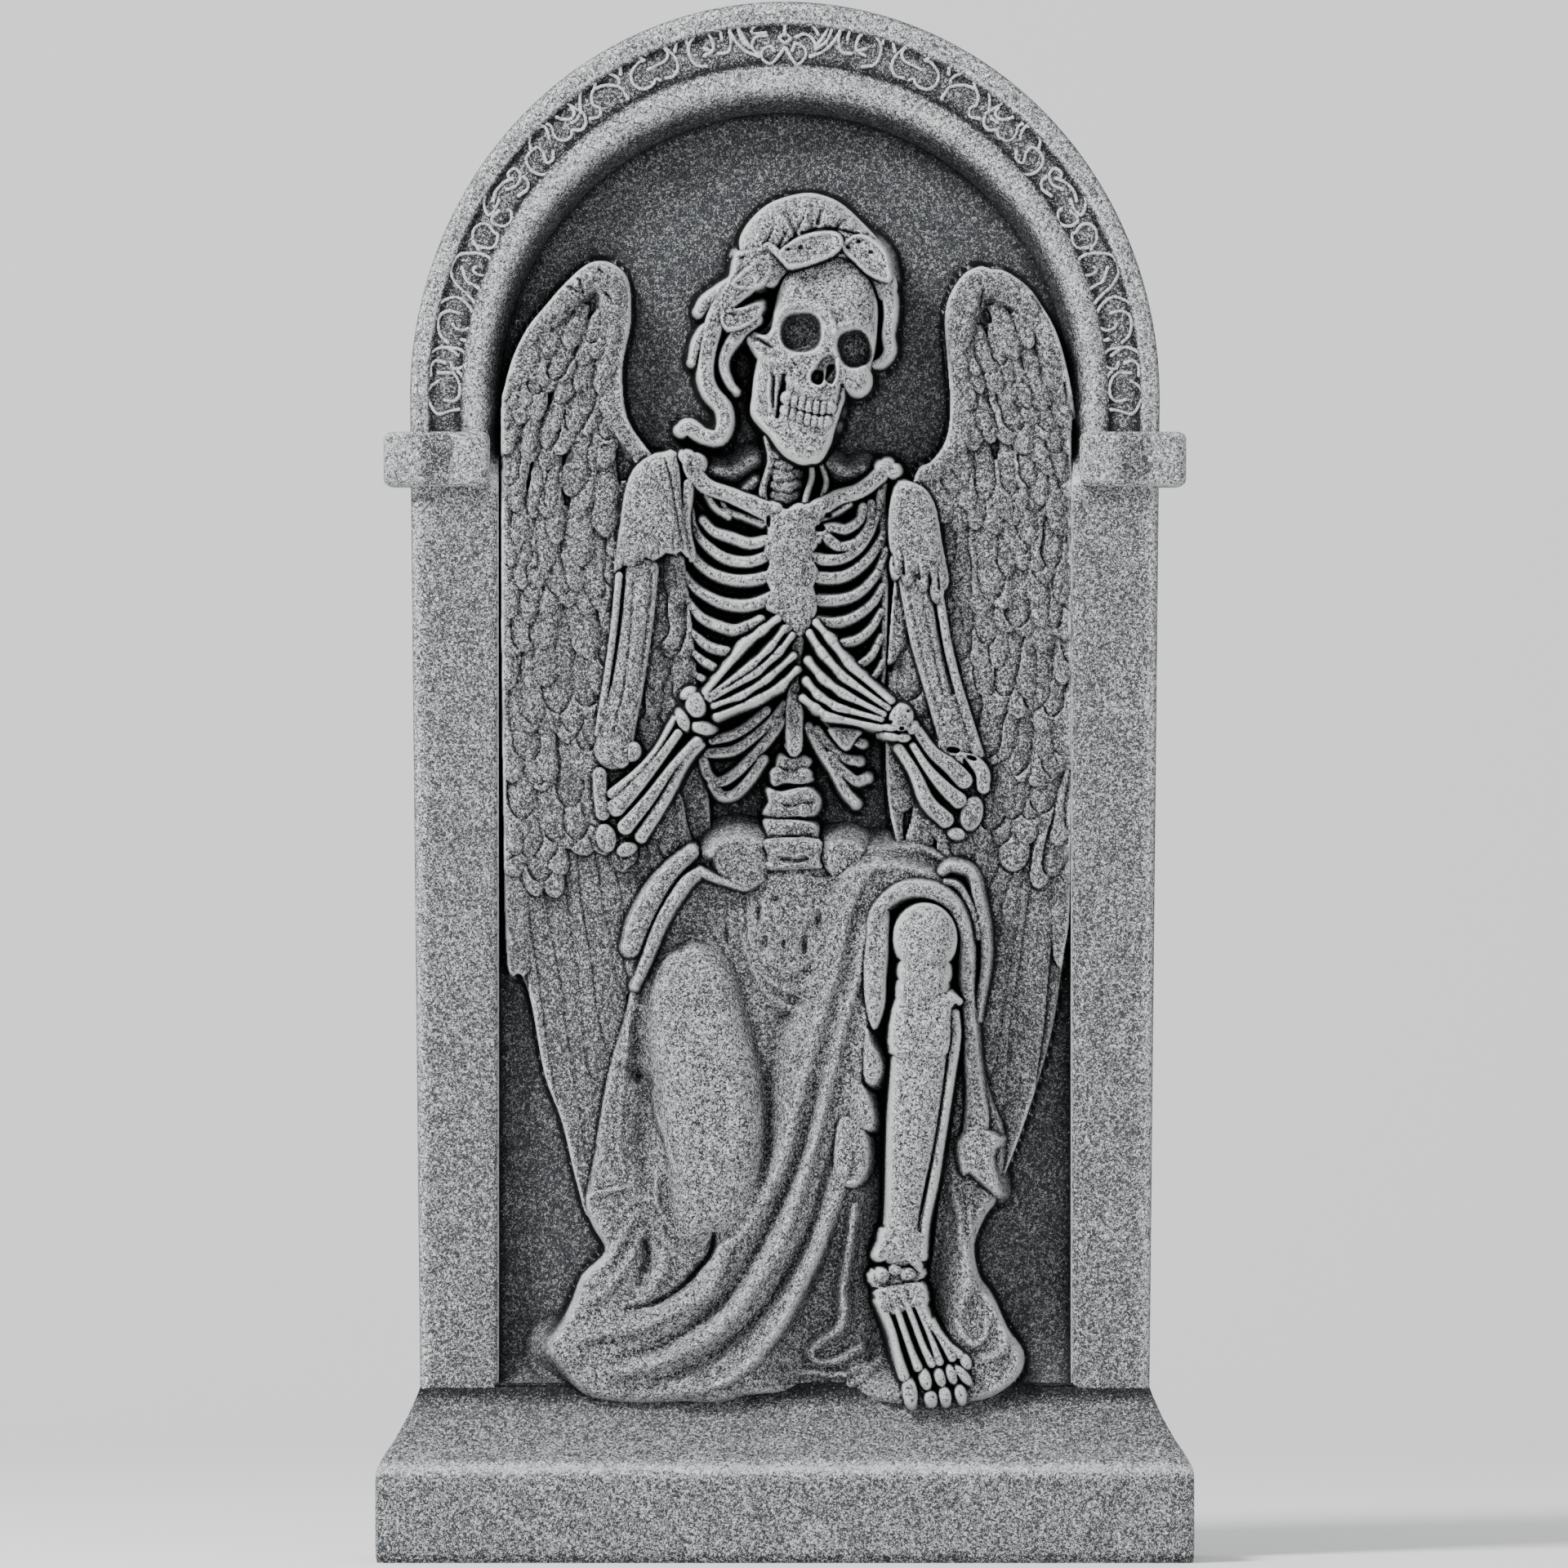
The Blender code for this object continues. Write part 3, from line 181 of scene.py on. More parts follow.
def plate(layer, points, top, edge, drop=None, slope=None, pieces=4):
    # a closed outline filled at the top's height, a number or a function of x and y; it rounds down by
    # drop over the edge's width, as a quarter circle, and falls at the slope outside
    slope = slope or sheet["steepest"]
    drop = edge if drop is None else drop
    outline = bend(points, pieces, closed=True)[:, :2] if pieces > 1 else np.asarray(points, float)[:, :2]
    where, x, y = window(outline, 150 / slope + 2)
    away, _, _ = toPath(np.vstack([outline, outline[:1]]), x, y)
    height = top(x, y) if callable(top) else top
    u = np.clip(away / edge, 0, 1)
    rounded = height - drop * (1 - np.sqrt(1 - (1 - u) ** 2))
    value = np.where(within(outline, x, y), rounded, height - drop - slope * away)
    layer[where] = np.maximum(layer[where], value)


def knobAt(layer, x0, y0, rx, ry, top, depth, turn=0.0, blend=0.0, slope=None):
    # half an ellipsoid of that depth, turned by degrees; blend is the width of its fillet with the layer
    slope = slope or sheet["steepest"]
    where, x, y = window(np.array([[x0, y0]]), max(rx, ry) + (top - sheet["floor"]) / slope)
    c, s = np.cos(np.radians(turn)), np.sin(np.radians(turn))
    u, v = ((x - x0) * c + (y - y0) * s) / rx, ((y - y0) * c - (x - x0) * s) / ry
    q = np.hypot(u, v)
    value = top - depth * (1 - np.sqrt(np.clip(1 - q * q, 0, 1)))
    value = np.where(q < 1, value, top - depth - slope * (q - 1) * min(rx, ry))
    h = layer[where]
    if blend:
        joined = 0.5 * (h + value + np.sqrt((h - value) ** 2 + blend ** 2))
        value = np.where(h > sheet["floor"] + 1, joined, value)
    layer[where] = np.maximum(h, value)


def pit(layer, x0, y0, rx, ry, depth, turn=0.0, power=4.0, corners=2.4):
    # a hollow with a flat floor: depth times 1 - q^power, q the distance by a rounded-square measure
    where, x, y = window(np.array([[x0, y0]]), max(rx, ry) * 1.3)
    c, s = np.cos(np.radians(turn)), np.sin(np.radians(turn))
    u, v = ((x - x0) * c + (y - y0) * s) / rx, ((y - y0) * c - (x - x0) * s) / ry
    q = np.clip((np.abs(u) ** corners + np.abs(v) ** corners) ** (1 / corners), 0, 1)
    layer[where] -= depth * (1 - q ** power) * (layer[where] > sheet["floor"] + 1)


def fold(layer, points, lean=0.0, pieces=4, sharp=2.0):
    # adds a ridge, or a groove where the amount is negative: points are x, y, amount, half width;
    # across it falls as exp(-(d/w)^sharp), and lean widens the side at the right hand of the path
    path = bend(points, pieces) if len(points) > 2 else np.asarray(points, float)
    where, x, y = window(path, 3 * path[:, 3].max())
    away, carried, side = toPath(path, x, y)
    wide = np.maximum(carried[..., 1], 0.3) * (1 + lean * side)
    gain = carried[..., 0] * np.exp(-(away / wide) ** sharp)
    layer[where] += gain * (layer[where] > sheet["floor"] + 1)


def soften(layer, reach):  # blurs a layer inside its border and keeps the border where it is
    solid = (layer > sheet["floor"] + 1).astype(float)
    keep = np.clip(2 * blur(solid, reach) - 1, 0, 1)
    layer[:] = keep * blur(layer, reach) + (1 - keep) * layer


def plume(layer, root, tip, width, ground, lift=7.0, crown=4.0, seed=0, barbs=0.5):
    # one feather laid over what is there, from root to tip: straight sides that close in an ellipse,
    # its height the ground plus a lift that grows to the tip, a crowned cross-section, a quill groove
    # and slanting barbs
    root, tip = np.asarray(root, float), np.asarray(tip, float)
    length = np.hypot(*(tip - root))
    ax, ay = (tip - root) / length
    where, x, y = window(np.array([root, tip]), width)
    if not x.size:
        return
    u = ((x - root[0]) * ax + (y - root[1]) * ay) / length
    v = ((x - root[0]) * -ay + (y - root[1]) * ax) / (0.5 * width)
    v = v + 0.10 * np.sin(5.0 * u + seed)             # a slight wave, so that no two match
    close = 0.75 * width / length                     # the tip's round end, as a share of the length
    end = np.clip((u - (1 - close)) / close, 0, 1)
    half = np.sqrt(np.clip(1 - end ** 2, 0, 1)) * (0.72 + 0.28 * smooth(2.2 * u))
    half = half * (1 + 0.06 * np.sin(17 * u + 2 * seed))
    v2 = np.abs(v) / np.maximum(half, 1e-3)
    live = (u > 0) & (u < 1) & (v2 < 1)
    height = ground(x, y) if callable(ground) else ground
    body = crown * (1 - v2 ** 2.6) - crown * 0.55 * end ** 3
    quill = -0.9 * np.exp(-(v / 0.13) ** 2) * (1 - end)
    comb = barbs * np.sin((u * length + np.abs(v) * width * 0.45) * 1.35) * (1 - v2 ** 4) * smooth(6 * u)
    value = height + lift * (0.15 + 0.85 * u) + body + quill + comb
    layer[where] = np.where(live, value, layer[where])


# The wings. Each has an outline, a thick smooth rim over its top and feathers from the foot up, each
# one laid over those below it. A long feather is root x, root y, tip x, tip y, width; the short
# ones stand in rows.
feathers = dict(
    rowStep=33, share=0.70,          # distance between rows of tips, and the share of places that are taken
    lengths=[56, 78, 118, 160], widths=[20, 25, 29],       # from the top row to the lowest
    across=10, down=34,              # how far a tip strays from its place
    lift=14, liftSpread=9, crown=7.5,                      # height over the ground and of the rounded back
    outerLift=16, outerCrown=8.5,    # the same for the larger ones at the outer edge
    barbs=0.14, longBarbs=0.28,
)
leftWing = dict(
    side=-1, seed=4,
    # the larger feathers down the outer edge: tip x, tip y, length, width
    outerFeathers=[(632, 1050, 170, 24), (656, 1100, 190, 26), (686, 1075, 180, 26), (628, 960, 150, 24),
                   (650, 900, 120, 24), (673, 960, 140, 26), (622, 846, 110, 24), (647, 765, 90, 24),
                   (672, 760, 90, 24), (624, 760, 110, 26), (640, 695, 90, 20), (618, 700, 120, 22),
                   (630, 628, 80, 22), (652, 622, 60, 17), (672, 625, 60, 18), (618, 558, 90, 22),
                   (646, 556, 80, 20), (678, 530, 50, 17), (664, 474, 70, 24), (640, 500, 60, 20)],
    outline=[(800, 560), (768, 512), (762, 450), (772, 397), (770, 345), (754, 325), (735, 319), (716, 325),
             (692, 346), (665, 377), (645, 402), (628, 436), (617, 474), (613, 500), (613, 620), (613, 800),
             (615, 1000), (620, 1184), (637, 1196), (650, 1232), (666, 1319), (687, 1376), (705, 1450),
             (722, 1496), (745, 1440), (790, 1240), (850, 1100), (870, 1040), (860, 900), (840, 700),
             (820, 590)],
    rim=[(796, 566, 60, 9), (777, 540, 62, 15), (757, 512, 63, 18), (748, 470, 64, 18), (748, 430, 65, 18),
         (754, 390, 67, 18), (750, 352, 68, 20), (733, 339, 68, 19), (709, 347, 66, 18), (686, 372, 64, 16),
         (662, 404, 61, 14), (644, 440, 57, 11), (634, 470, 54, 8)],
    primaries=[(636, 900, 700, 1500, 44), (640, 980, 722, 1497, 40), (664, 940, 738, 1440, 42),
               (684, 900, 742, 1330, 40), (704, 960, 762, 1300, 38), (728, 980, 775, 1220, 34),
               (752, 990, 790, 1180, 32), (780, 1000, 815, 1130, 30), (808, 1000, 836, 1090, 28),
               (624, 880, 634, 1200, 34)],
    rimNotches=[(692, 349, 708, 358), (710, 344, 714, 360), (733, 330, 738, 334), (742, 360, 746, 364)],
)
rightWing = dict(
    side=1, seed=9,
    outerFeathers=[(1296, 1040, 170, 24), (1270, 1090, 190, 26), (1300, 940, 150, 24), (1276, 900, 130, 26),
                   (1250, 960, 140, 26), (1300, 840, 120, 24), (1274, 770, 90, 26), (1300, 740, 110, 22),
                   (1252, 700, 80, 22), (1298, 655, 100, 22), (1276, 620, 80, 22), (1254, 600, 60, 18),
                   (1300, 580, 80, 20), (1280, 540, 70, 20), (1260, 500, 60, 20), (1238, 470, 50, 18)],
    outline=[(1120, 584), (1140, 566), (1158, 540), (1164, 500), (1160, 440), (1157, 392), (1163, 362),
             (1180, 336), (1200, 326), (1214, 329), (1232, 332), (1258, 350), (1275, 372), (1293, 404),
             (1306, 445), (1315, 490), (1318, 516), (1313, 528), (1314, 700), (1313, 1000), (1311, 1120),
             (1304, 1170), (1290, 1260), (1268, 1340), (1238, 1425), (1218, 1465), (1196, 1470),
             (1186, 1400), (1176, 1200), (1100, 1040), (1084, 900), (1096, 700)],
    rim=[(1128, 586, 58, 9), (1144, 574, 61, 13), (1166, 552, 62, 16), (1180, 520, 63, 16),
         (1180, 480, 64, 14), (1178, 440, 64, 14), (1176, 400, 66, 16), (1184, 362, 68, 19),
         (1201, 346, 68, 19), (1224, 350, 67, 18), (1250, 366, 65, 15), (1270, 392, 62, 13),
         (1286, 422, 60, 11), (1298, 456, 57, 9), (1306, 500, 54, 8)],
    primaries=[(1286, 900, 1222, 1466, 46), (1268, 920, 1214, 1440, 42), (1290, 1000, 1240, 1420, 40),
               (1256, 900, 1200, 1330, 38), (1236, 900, 1190, 1250, 36), (1304, 860, 1303, 1190, 30),
               (1240, 1040, 1178, 1225, 26)],
    rimNotches=[(1204, 356, 1200, 376), (1252, 348, 1262, 356), (1266, 364, 1290, 404),
                (1304, 470, 1306, 486)],
)


def height(layer, x, y):  # the sheet's height at one place
    return layer[int(round(y - rows[0])), int(round(x - cols[0]))]


def wing(which):
    # a flat ground, the long feathers at its foot, then the rows and the outer ones from the lowest tip
    # up, each laid over the last, and the rim with its tufts
    layer = newLayer()

    def ground(x, y):  # thick under the rim, thin at the outer edge and towards the hanging tips
        out = np.abs(x - sheet["middle"])
        return (27 + 12 * smooth((1450 - y) / 800) + 5 * smooth((out - 180) / 60)
                - 6 * smooth((out - 318) / 34))

    plate(layer, which["outline"], lambda x, y: ground(x, y) - 4, 7, 6, slope=22)
    bare = layer.copy()
    for root in sorted(which["primaries"], key=lambda f: -f[3]):
        plume(layer, root[:2], root[2:4], root[4], ground, 10, 5, seed=root[0], barbs=feathers["longBarbs"])
    chance = np.random.RandomState(which["seed"])

    def lean(y):  # sideways for each step down: outwards at the top, inwards lower down
        return which["side"] * np.interp(y, [400, 520, 700, 900, 1085], [0.34, 0.24, 0.06, -0.10, -0.16])

    laid = []
    for row, foot in enumerate(np.arange(1085, 392, -feathers["rowStep"])):
        long = np.interp(foot, [400, 600, 900, 1085], feathers["lengths"])
        wide = np.interp(foot, [400, 700, 1085], feathers["widths"])
        for x in np.arange(608 + 0.45 * wide * (row % 2), 840, 0.88 * wide):
            dx, dy, stretch, kept = chance.rand(4) - 0.5
            if kept + 0.5 < feathers["share"]:
                out = sheet["middle"] - x + feathers["across"] * dx
                tip = np.array([sheet["middle"] + which["side"] * out, foot + feathers["down"] * dy])
                root = tip - long * (1 + 0.5 * stretch) * np.array([lean(foot) + 0.3 * dx, 1.0])
                laid.append((tip, root, wide * (1.2 + 0.5 * stretch),
                             feathers["lift"] + feathers["liftSpread"] * dx, feathers["crown"]))
    for x, y, long, wide in which["outerFeathers"]:
        laid.append((np.array([x, y]), np.array([x - long * lean(y), y - long]), wide, feathers["outerLift"],
                     feathers["outerCrown"]))
    for tip, root, wide, lift, crown in sorted(laid, key=lambda f: -f[0][1]):
        plume(layer, root, tip, wide, ground, lift, crown, seed=tip[0] + tip[1], barbs=feathers["barbs"])
    shape = within(bend(which["outline"], 4, closed=True)[:, :2], *np.meshgrid(cols, rows))
    layer = np.where(shape, layer, bare)
    # the rim swells out of the feathers and has a ragged inner border, as moulded
    rim = newLayer()
    rod(rim, which["rim"], roundness=0.55, slope=2.2)
    x, y = np.meshgrid(cols, rows)
    ragged = np.sin(0.31 * x + 1.7 * np.sin(0.17 * y)) * np.sin(0.23 * y + 0.8 * np.sin(0.21 * x))
    border = np.clip(1 - (rim - layer) / 9, 0, 1)       # full where the rim meets the feathers
    rim += ragged * (0.45 + 3.4 * border)
    layer = np.where(rim > layer, rim, layer)
    spine = bend([p[:2] for p in which["rim"]], 6)[:, :2]
    for n in range(0, len(spine) - 2, 2):
        x, y = spine[n] + 15 * (chance.rand(2) - 0.5)
        slide = spine[min(n + 3, len(spine) - 1)] - spine[n]
        knobAt(layer, x, y, 5 + 5 * chance.rand(), 9 + 10 * chance.rand(), height(layer, x, y) + 2.2, 3.4,
               np.degrees(np.arctan2(-slide[0], slide[1])) + 30 * chance.rand() - 15)
    for x0, y0, x1, y1 in which["rimNotches"]:
        fold(layer, [(x0, y0, -9, 2.2), (x1, y1, -7, 1.6)])
    return np.where(shape, layer, np.minimum(layer, bare))


# The rib cage and the spine behind it. A bone's points are x, y, top, radius.
chest = dict(
    hollow=[(842, 606), (900, 590), (1010, 590), (1078, 604), (1082, 700), (1080, 850), (1046, 972),
            (1010, 930), (940, 930), (884, 972), (838, 860), (832, 700)],
    sternum=[(930, 620), (948, 616), (962, 626), (977, 619), (994, 622), (1006, 634), (999, 652),
             (1000, 668),
             (994, 682), (1002, 704), (995, 720), (1000, 738), (994, 765), (979, 780), (966, 768),
             (950, 754),
             (938, 744), (944, 724), (937, 708), (943, 692), (936, 676), (941, 650), (932, 634)],
    leftRibs=[[(860, 638), (874, 652), (897, 660), (919, 667), (940, 663)],
              [(844, 624), (852, 652), (869, 672), (891, 686), (919, 689), (946, 679)],
              [(838, 660), (852, 686), (872, 703), (897, 711), (922, 711), (948, 705)],
              [(830, 693), (844, 714), (861, 728), (886, 740), (914, 743), (936, 737), (950, 729)],
              [(832, 716), (841, 736), (858, 757), (880, 768), (900, 773), (919, 767), (931, 761)],
              [(834, 764), (852, 781), (869, 794), (891, 800)],
              [(830, 776), (844, 795), (858, 809), (874, 819)],
              [(828, 798), (838, 815), (848, 826), (861, 834)],
              [(828, 829), (838, 840), (850, 847)]],
    rightRibs=[[(1057, 622), (1053, 638), (1036, 649), (1019, 647), (1008, 650), (1000, 660)],
               [(1067, 618), (1064, 644), (1050, 664), (1030, 671), (1018, 664), (1010, 656)],
               [(1081, 593), (1073, 633), (1056, 667), (1036, 683), (1013, 687), (992, 683)],
               [(1089, 632), (1081, 658), (1064, 684), (1041, 703), (1019, 709), (992, 707)],
               [(1086, 674), (1073, 705), (1050, 728), (1025, 736), (994, 736)],
               [(1081, 719), (1069, 739), (1047, 756), (1022, 764), (992, 761)],
               [(1079, 750), (1067, 770), (1050, 784), (1030, 790)],
               [(1079, 781), (1067, 804), (1050, 818)],
               [(1081, 812), (1072, 828), (1058, 840)]],
    lowRibs=[[(872, 908), (897, 902), (919, 889), (938, 872)],
             [(866, 924), (897, 921), (922, 905), (945, 885), (962, 865)],
             [(860, 930), (866, 950), (880, 960), (902, 948), (924, 926), (944, 902), (958, 884)],
             [(872, 962), (884, 976), (900, 974), (918, 956), (934, 932)],
             [(990, 892), (1004, 918), (1022, 946), (1036, 972), (1048, 986)],
             [(1000, 896), (1016, 914), (1034, 930), (1052, 934)],
             [(1016, 926), (1032, 946), (1048, 958), (1062, 954)],
             [(1010, 880), (1032, 902), (1056, 912)]],
    sideWalls=[[(842, 604, 60, 4), (832, 690, 54, 3.5), (828, 780, 50, 3), (830, 846, 46, 3)],
               [(1080, 604, 60, 4), (1083, 700, 54, 3.5), (1083, 790, 50, 3), (1080, 850, 46, 3)]],
    vertebrae=[[(955, 926), (968, 930), (984, 928), (992, 934), (988, 946), (994, 956), (982, 962),
                (962, 960), (948, 964), (944, 952), (950, 940)],
               [(940, 968), (956, 972), (986, 966), (1000, 974), (1004, 986), (996, 1000), (975, 1002),
                (950, 1004), (936, 998), (942, 984)],
               [(936, 1008), (950, 1005), (988, 1008), (1000, 1014), (1002, 1028), (1004, 1044),
                (996, 1056), (972, 1052), (948, 1058), (936, 1050), (940, 1030)]],
)


def crossCuts(layer, path, count, reach, deep):  # short cracks and joints across a bone, evenly spaced
    steps = np.gradient(path[:, :2], axis=0)
    for at in np.linspace(0, len(path) - 1, count + 2)[1:-1]:
        n = int(round(at))
        across = np.array([-steps[n, 1], steps[n, 0]]) / (np.hypot(*steps[n]) + 1e-9)
        a, b = path[n, :2] - reach * across, path[n, :2] + reach * across
        fold(layer, [(*a, deep, 1.0), (*b, deep, 1.0)])


def ribCage():
    layer = newLayer()
    plate(layer, chest["hollow"], 15, 26, 12)
    # neck: a column of knotted vertebrae between two cords
    for n in range(5):
        y = 552 + 14 * n
        rod(layer, [(948, y, 54, 5), (960, y + 4, 62, 7), (972, y, 54, 5)], slope=3)
        knobAt(layer, 953 + 12 * (n % 2), y + 6, 6, 5, 64, 6)
    for cord in ([(940, 536, 58, 4), (944, 566, 56, 4), (934, 600, 58, 4), (938, 622, 70, 5)],
                 [(993, 566, 56, 2.6), (994, 584, 56, 2.6), (988, 606, 62, 3), (985, 622, 76, 4)],
                 [(1006, 570, 50, 2.5), (1012, 590, 52, 2.5), (1006, 614, 64, 3)]):
        rod(layer, cord)
    # shoulders: the blades' top edges behind the collar bones
    for edge in ([(866, 577, 50, 5), (896, 578, 56, 6), (920, 563, 58, 5)],
                 [(880, 602, 44, 4), (904, 606, 50, 5), (924, 590, 52, 4)],
                 [(1016, 568, 50, 5), (1035, 579, 56, 5.5), (1056, 575, 56, 5)]):
        rod(layer, edge, slope=3)
    knobAt(layer, 851, 570, 14, 14, 86, 14)
    rod(layer, [(842, 562, 88, 9), (851, 582, 88, 10), (868, 598, 88, 8.5), (900, 610, 92, 8.5),
                (936, 626, 97, 11)], roundness=0.7)
    rod(layer, [(1086, 572, 88, 9), (1074, 586, 88, 9), (1052, 602, 88, 8), (1024, 612, 92, 8.5),
                (998, 627, 97, 11)], roundness=0.7)
    # thin braces under the collar bones
    for brace in ([(866, 606, 70, 3), (876, 622, 72, 3), (892, 632, 74, 3.4)],
                  [(884, 612, 70, 2.6), (890, 626, 72, 3), (912, 634, 74, 3), (934, 642, 80, 4)],
                  [(1006, 636, 80, 4), (1022, 630, 74, 3), (1040, 618, 72, 3)]):
        rod(layer, brace, slope=9)
    rod(layer, [(843, 594, 84, 6), (839, 630, 80, 6), (842, 660, 76, 5), (848, 684, 72, 4)], roundness=0.6)
    for group, breast in ((chest["leftRibs"], 944), (chest["rightRibs"], 996)):
        for n, rib in enumerate(group):
            p = np.array(rib, float)
            across = np.abs(p[:, 0] - breast) / 110
            tops = 88 - 34 * across ** 1.5 - 1.2 * n
            wide = np.interp(n, [0, 3, 8], [5.6, 6.5, 4.4]) * (1 - 0.36 * across)
            rod(layer, np.column_stack([p, tops, wide]), roundness=0.7, slope=9)
            crossCuts(layer, bend(p, 5), 3 + n % 3, 5.0, -4.0)
    for rib in chest["lowRibs"]:
        p = np.array(rib, float)
        tops = 64 - 0.10 * np.abs(p[:, 0] - 972)
        rod(layer, np.column_stack([p, tops, np.full(len(p), 5.2)]), roundness=0.7, slope=9)
    for wall in chest["sideWalls"]:
        rod(layer, wall)
    for n, block in enumerate(chest["vertebrae"]):
        plate(layer, block, lambda x, y: 62 + 5 * n - 0.008 * (x - 970) ** 2, 5, 7, slope=9)
        y = (936, 980, 1020)[n]
        fold(layer, [(946, y + 6, -4, 2.2), (966, y + 9, -6, 3), (994, y + 4, -4, 2.2)])
        for x in (953, 984):
            knobAt(layer, x, y + 14, 9, 8, 66 + 5 * n, 6, 20)
    for x, y, rx, ry in ((972, 870, 11, 10), (972, 892, 9, 10), (972, 914, 10, 9)):
        knobAt(layer, x, y, rx, ry, 64, 8)
    rod(layer, [(977, 772, 84, 8), (975, 810, 74, 6), (972, 850, 68, 7), (972, 880, 68, 8)], roundness=0.8)
    plate(layer, [(964, 858), (981, 858), (980, 920), (965, 921)], 74, 4, 5)
    plate(layer, chest["sternum"], lambda x, y: 99 - 0.010 * (x - 968) ** 2, 6, 7)
    for x, y in ((950, 624), (990, 625), (962, 772)):
        knobAt(layer, x, y, 7, 6, 101, 6)
    for x, y, rx, ry in ((1004, 648, 7, 5), (1014, 632, 5, 4), (941, 640, 3, 8)):
        pit(layer, x, y, rx, ry, 18)
    return layer


# The arms and the hands, which meet over the breastbone
arms = dict(
    upper=[[(786, 700, 82, 20), (780, 760, 84, 20), (768, 840, 84, 20), (756, 892, 84, 22),
            (751, 920, 82, 24)],
           [(1120, 712, 84, 19), (1132, 780, 86, 18), (1148, 840, 86, 17), (1162, 885, 86, 18),
            (1172, 912, 84, 20)]],
    thin=[[(758, 706, 80, 4), (752, 770, 80, 4), (742, 840, 78, 4), (732, 900, 76, 4)],
          [(1148, 720, 82, 5), (1162, 800, 82, 5), (1178, 860, 82, 5.5), (1197, 924, 80, 7)]],
    leftForearm=[[(826, 882, 104, 2.4), (804, 920, 100, 2.4), (779, 948, 94, 3), (749, 974, 88, 5)],
                 [(830, 899, 106, 4), (804, 935, 102, 5.5), (779, 965, 96, 8), (755, 990, 90, 11)],
                 [(853, 909, 106, 4.5), (824, 940, 102, 4.5), (795, 980, 96, 7), (766, 1014, 90, 9)],
                 [(856, 914, 100, 4), (837, 938, 96, 4), (812, 984, 92, 6), (785, 1026, 86, 7)]],
    rightForearm=[[(1123, 897, 104, 5), (1141, 922, 100, 6.5), (1164, 940, 96, 9), (1180, 957, 92, 10)],
                  [(1118, 915, 104, 3.5), (1136, 943, 100, 4.5), (1156, 966, 96, 7), (1174, 982, 92, 9)],
                  [(1101, 918, 102, 5), (1120, 948, 98, 6), (1136, 984, 94, 8), (1158, 1006, 88, 9)]],
    leftFingers=[[(863, 852), (912, 790), (934, 773), (954, 758)],
                 [(864, 857), (921, 816), (943, 795), (962, 769)],
                 [(868, 859), (927, 825), (953, 801), (971, 778)],
                 [(872, 866), (908, 854), (938, 834), (973, 803)],
                 [(875, 880), (928, 858), (957, 841), (977, 820)]],
    rightFingers=[[(1092, 862), (1041, 817), (1017, 785), (998, 763)],
                  [(1089, 870), (1033, 831), (1008, 803), (990, 775)],
                  [(1084, 877), (1032, 851), (1008, 834), (988, 809)],
                  [(1081, 883), (1024, 868), (1002, 854), (986, 834)],
                  [(1081, 893), (1014, 879), (1000, 869), (982, 856)]],
)


def elbow(layer, ring, knobs):
    rod(layer, ring, roundness=0.8)
    for knob in knobs:
        knobAt(layer, *knob)


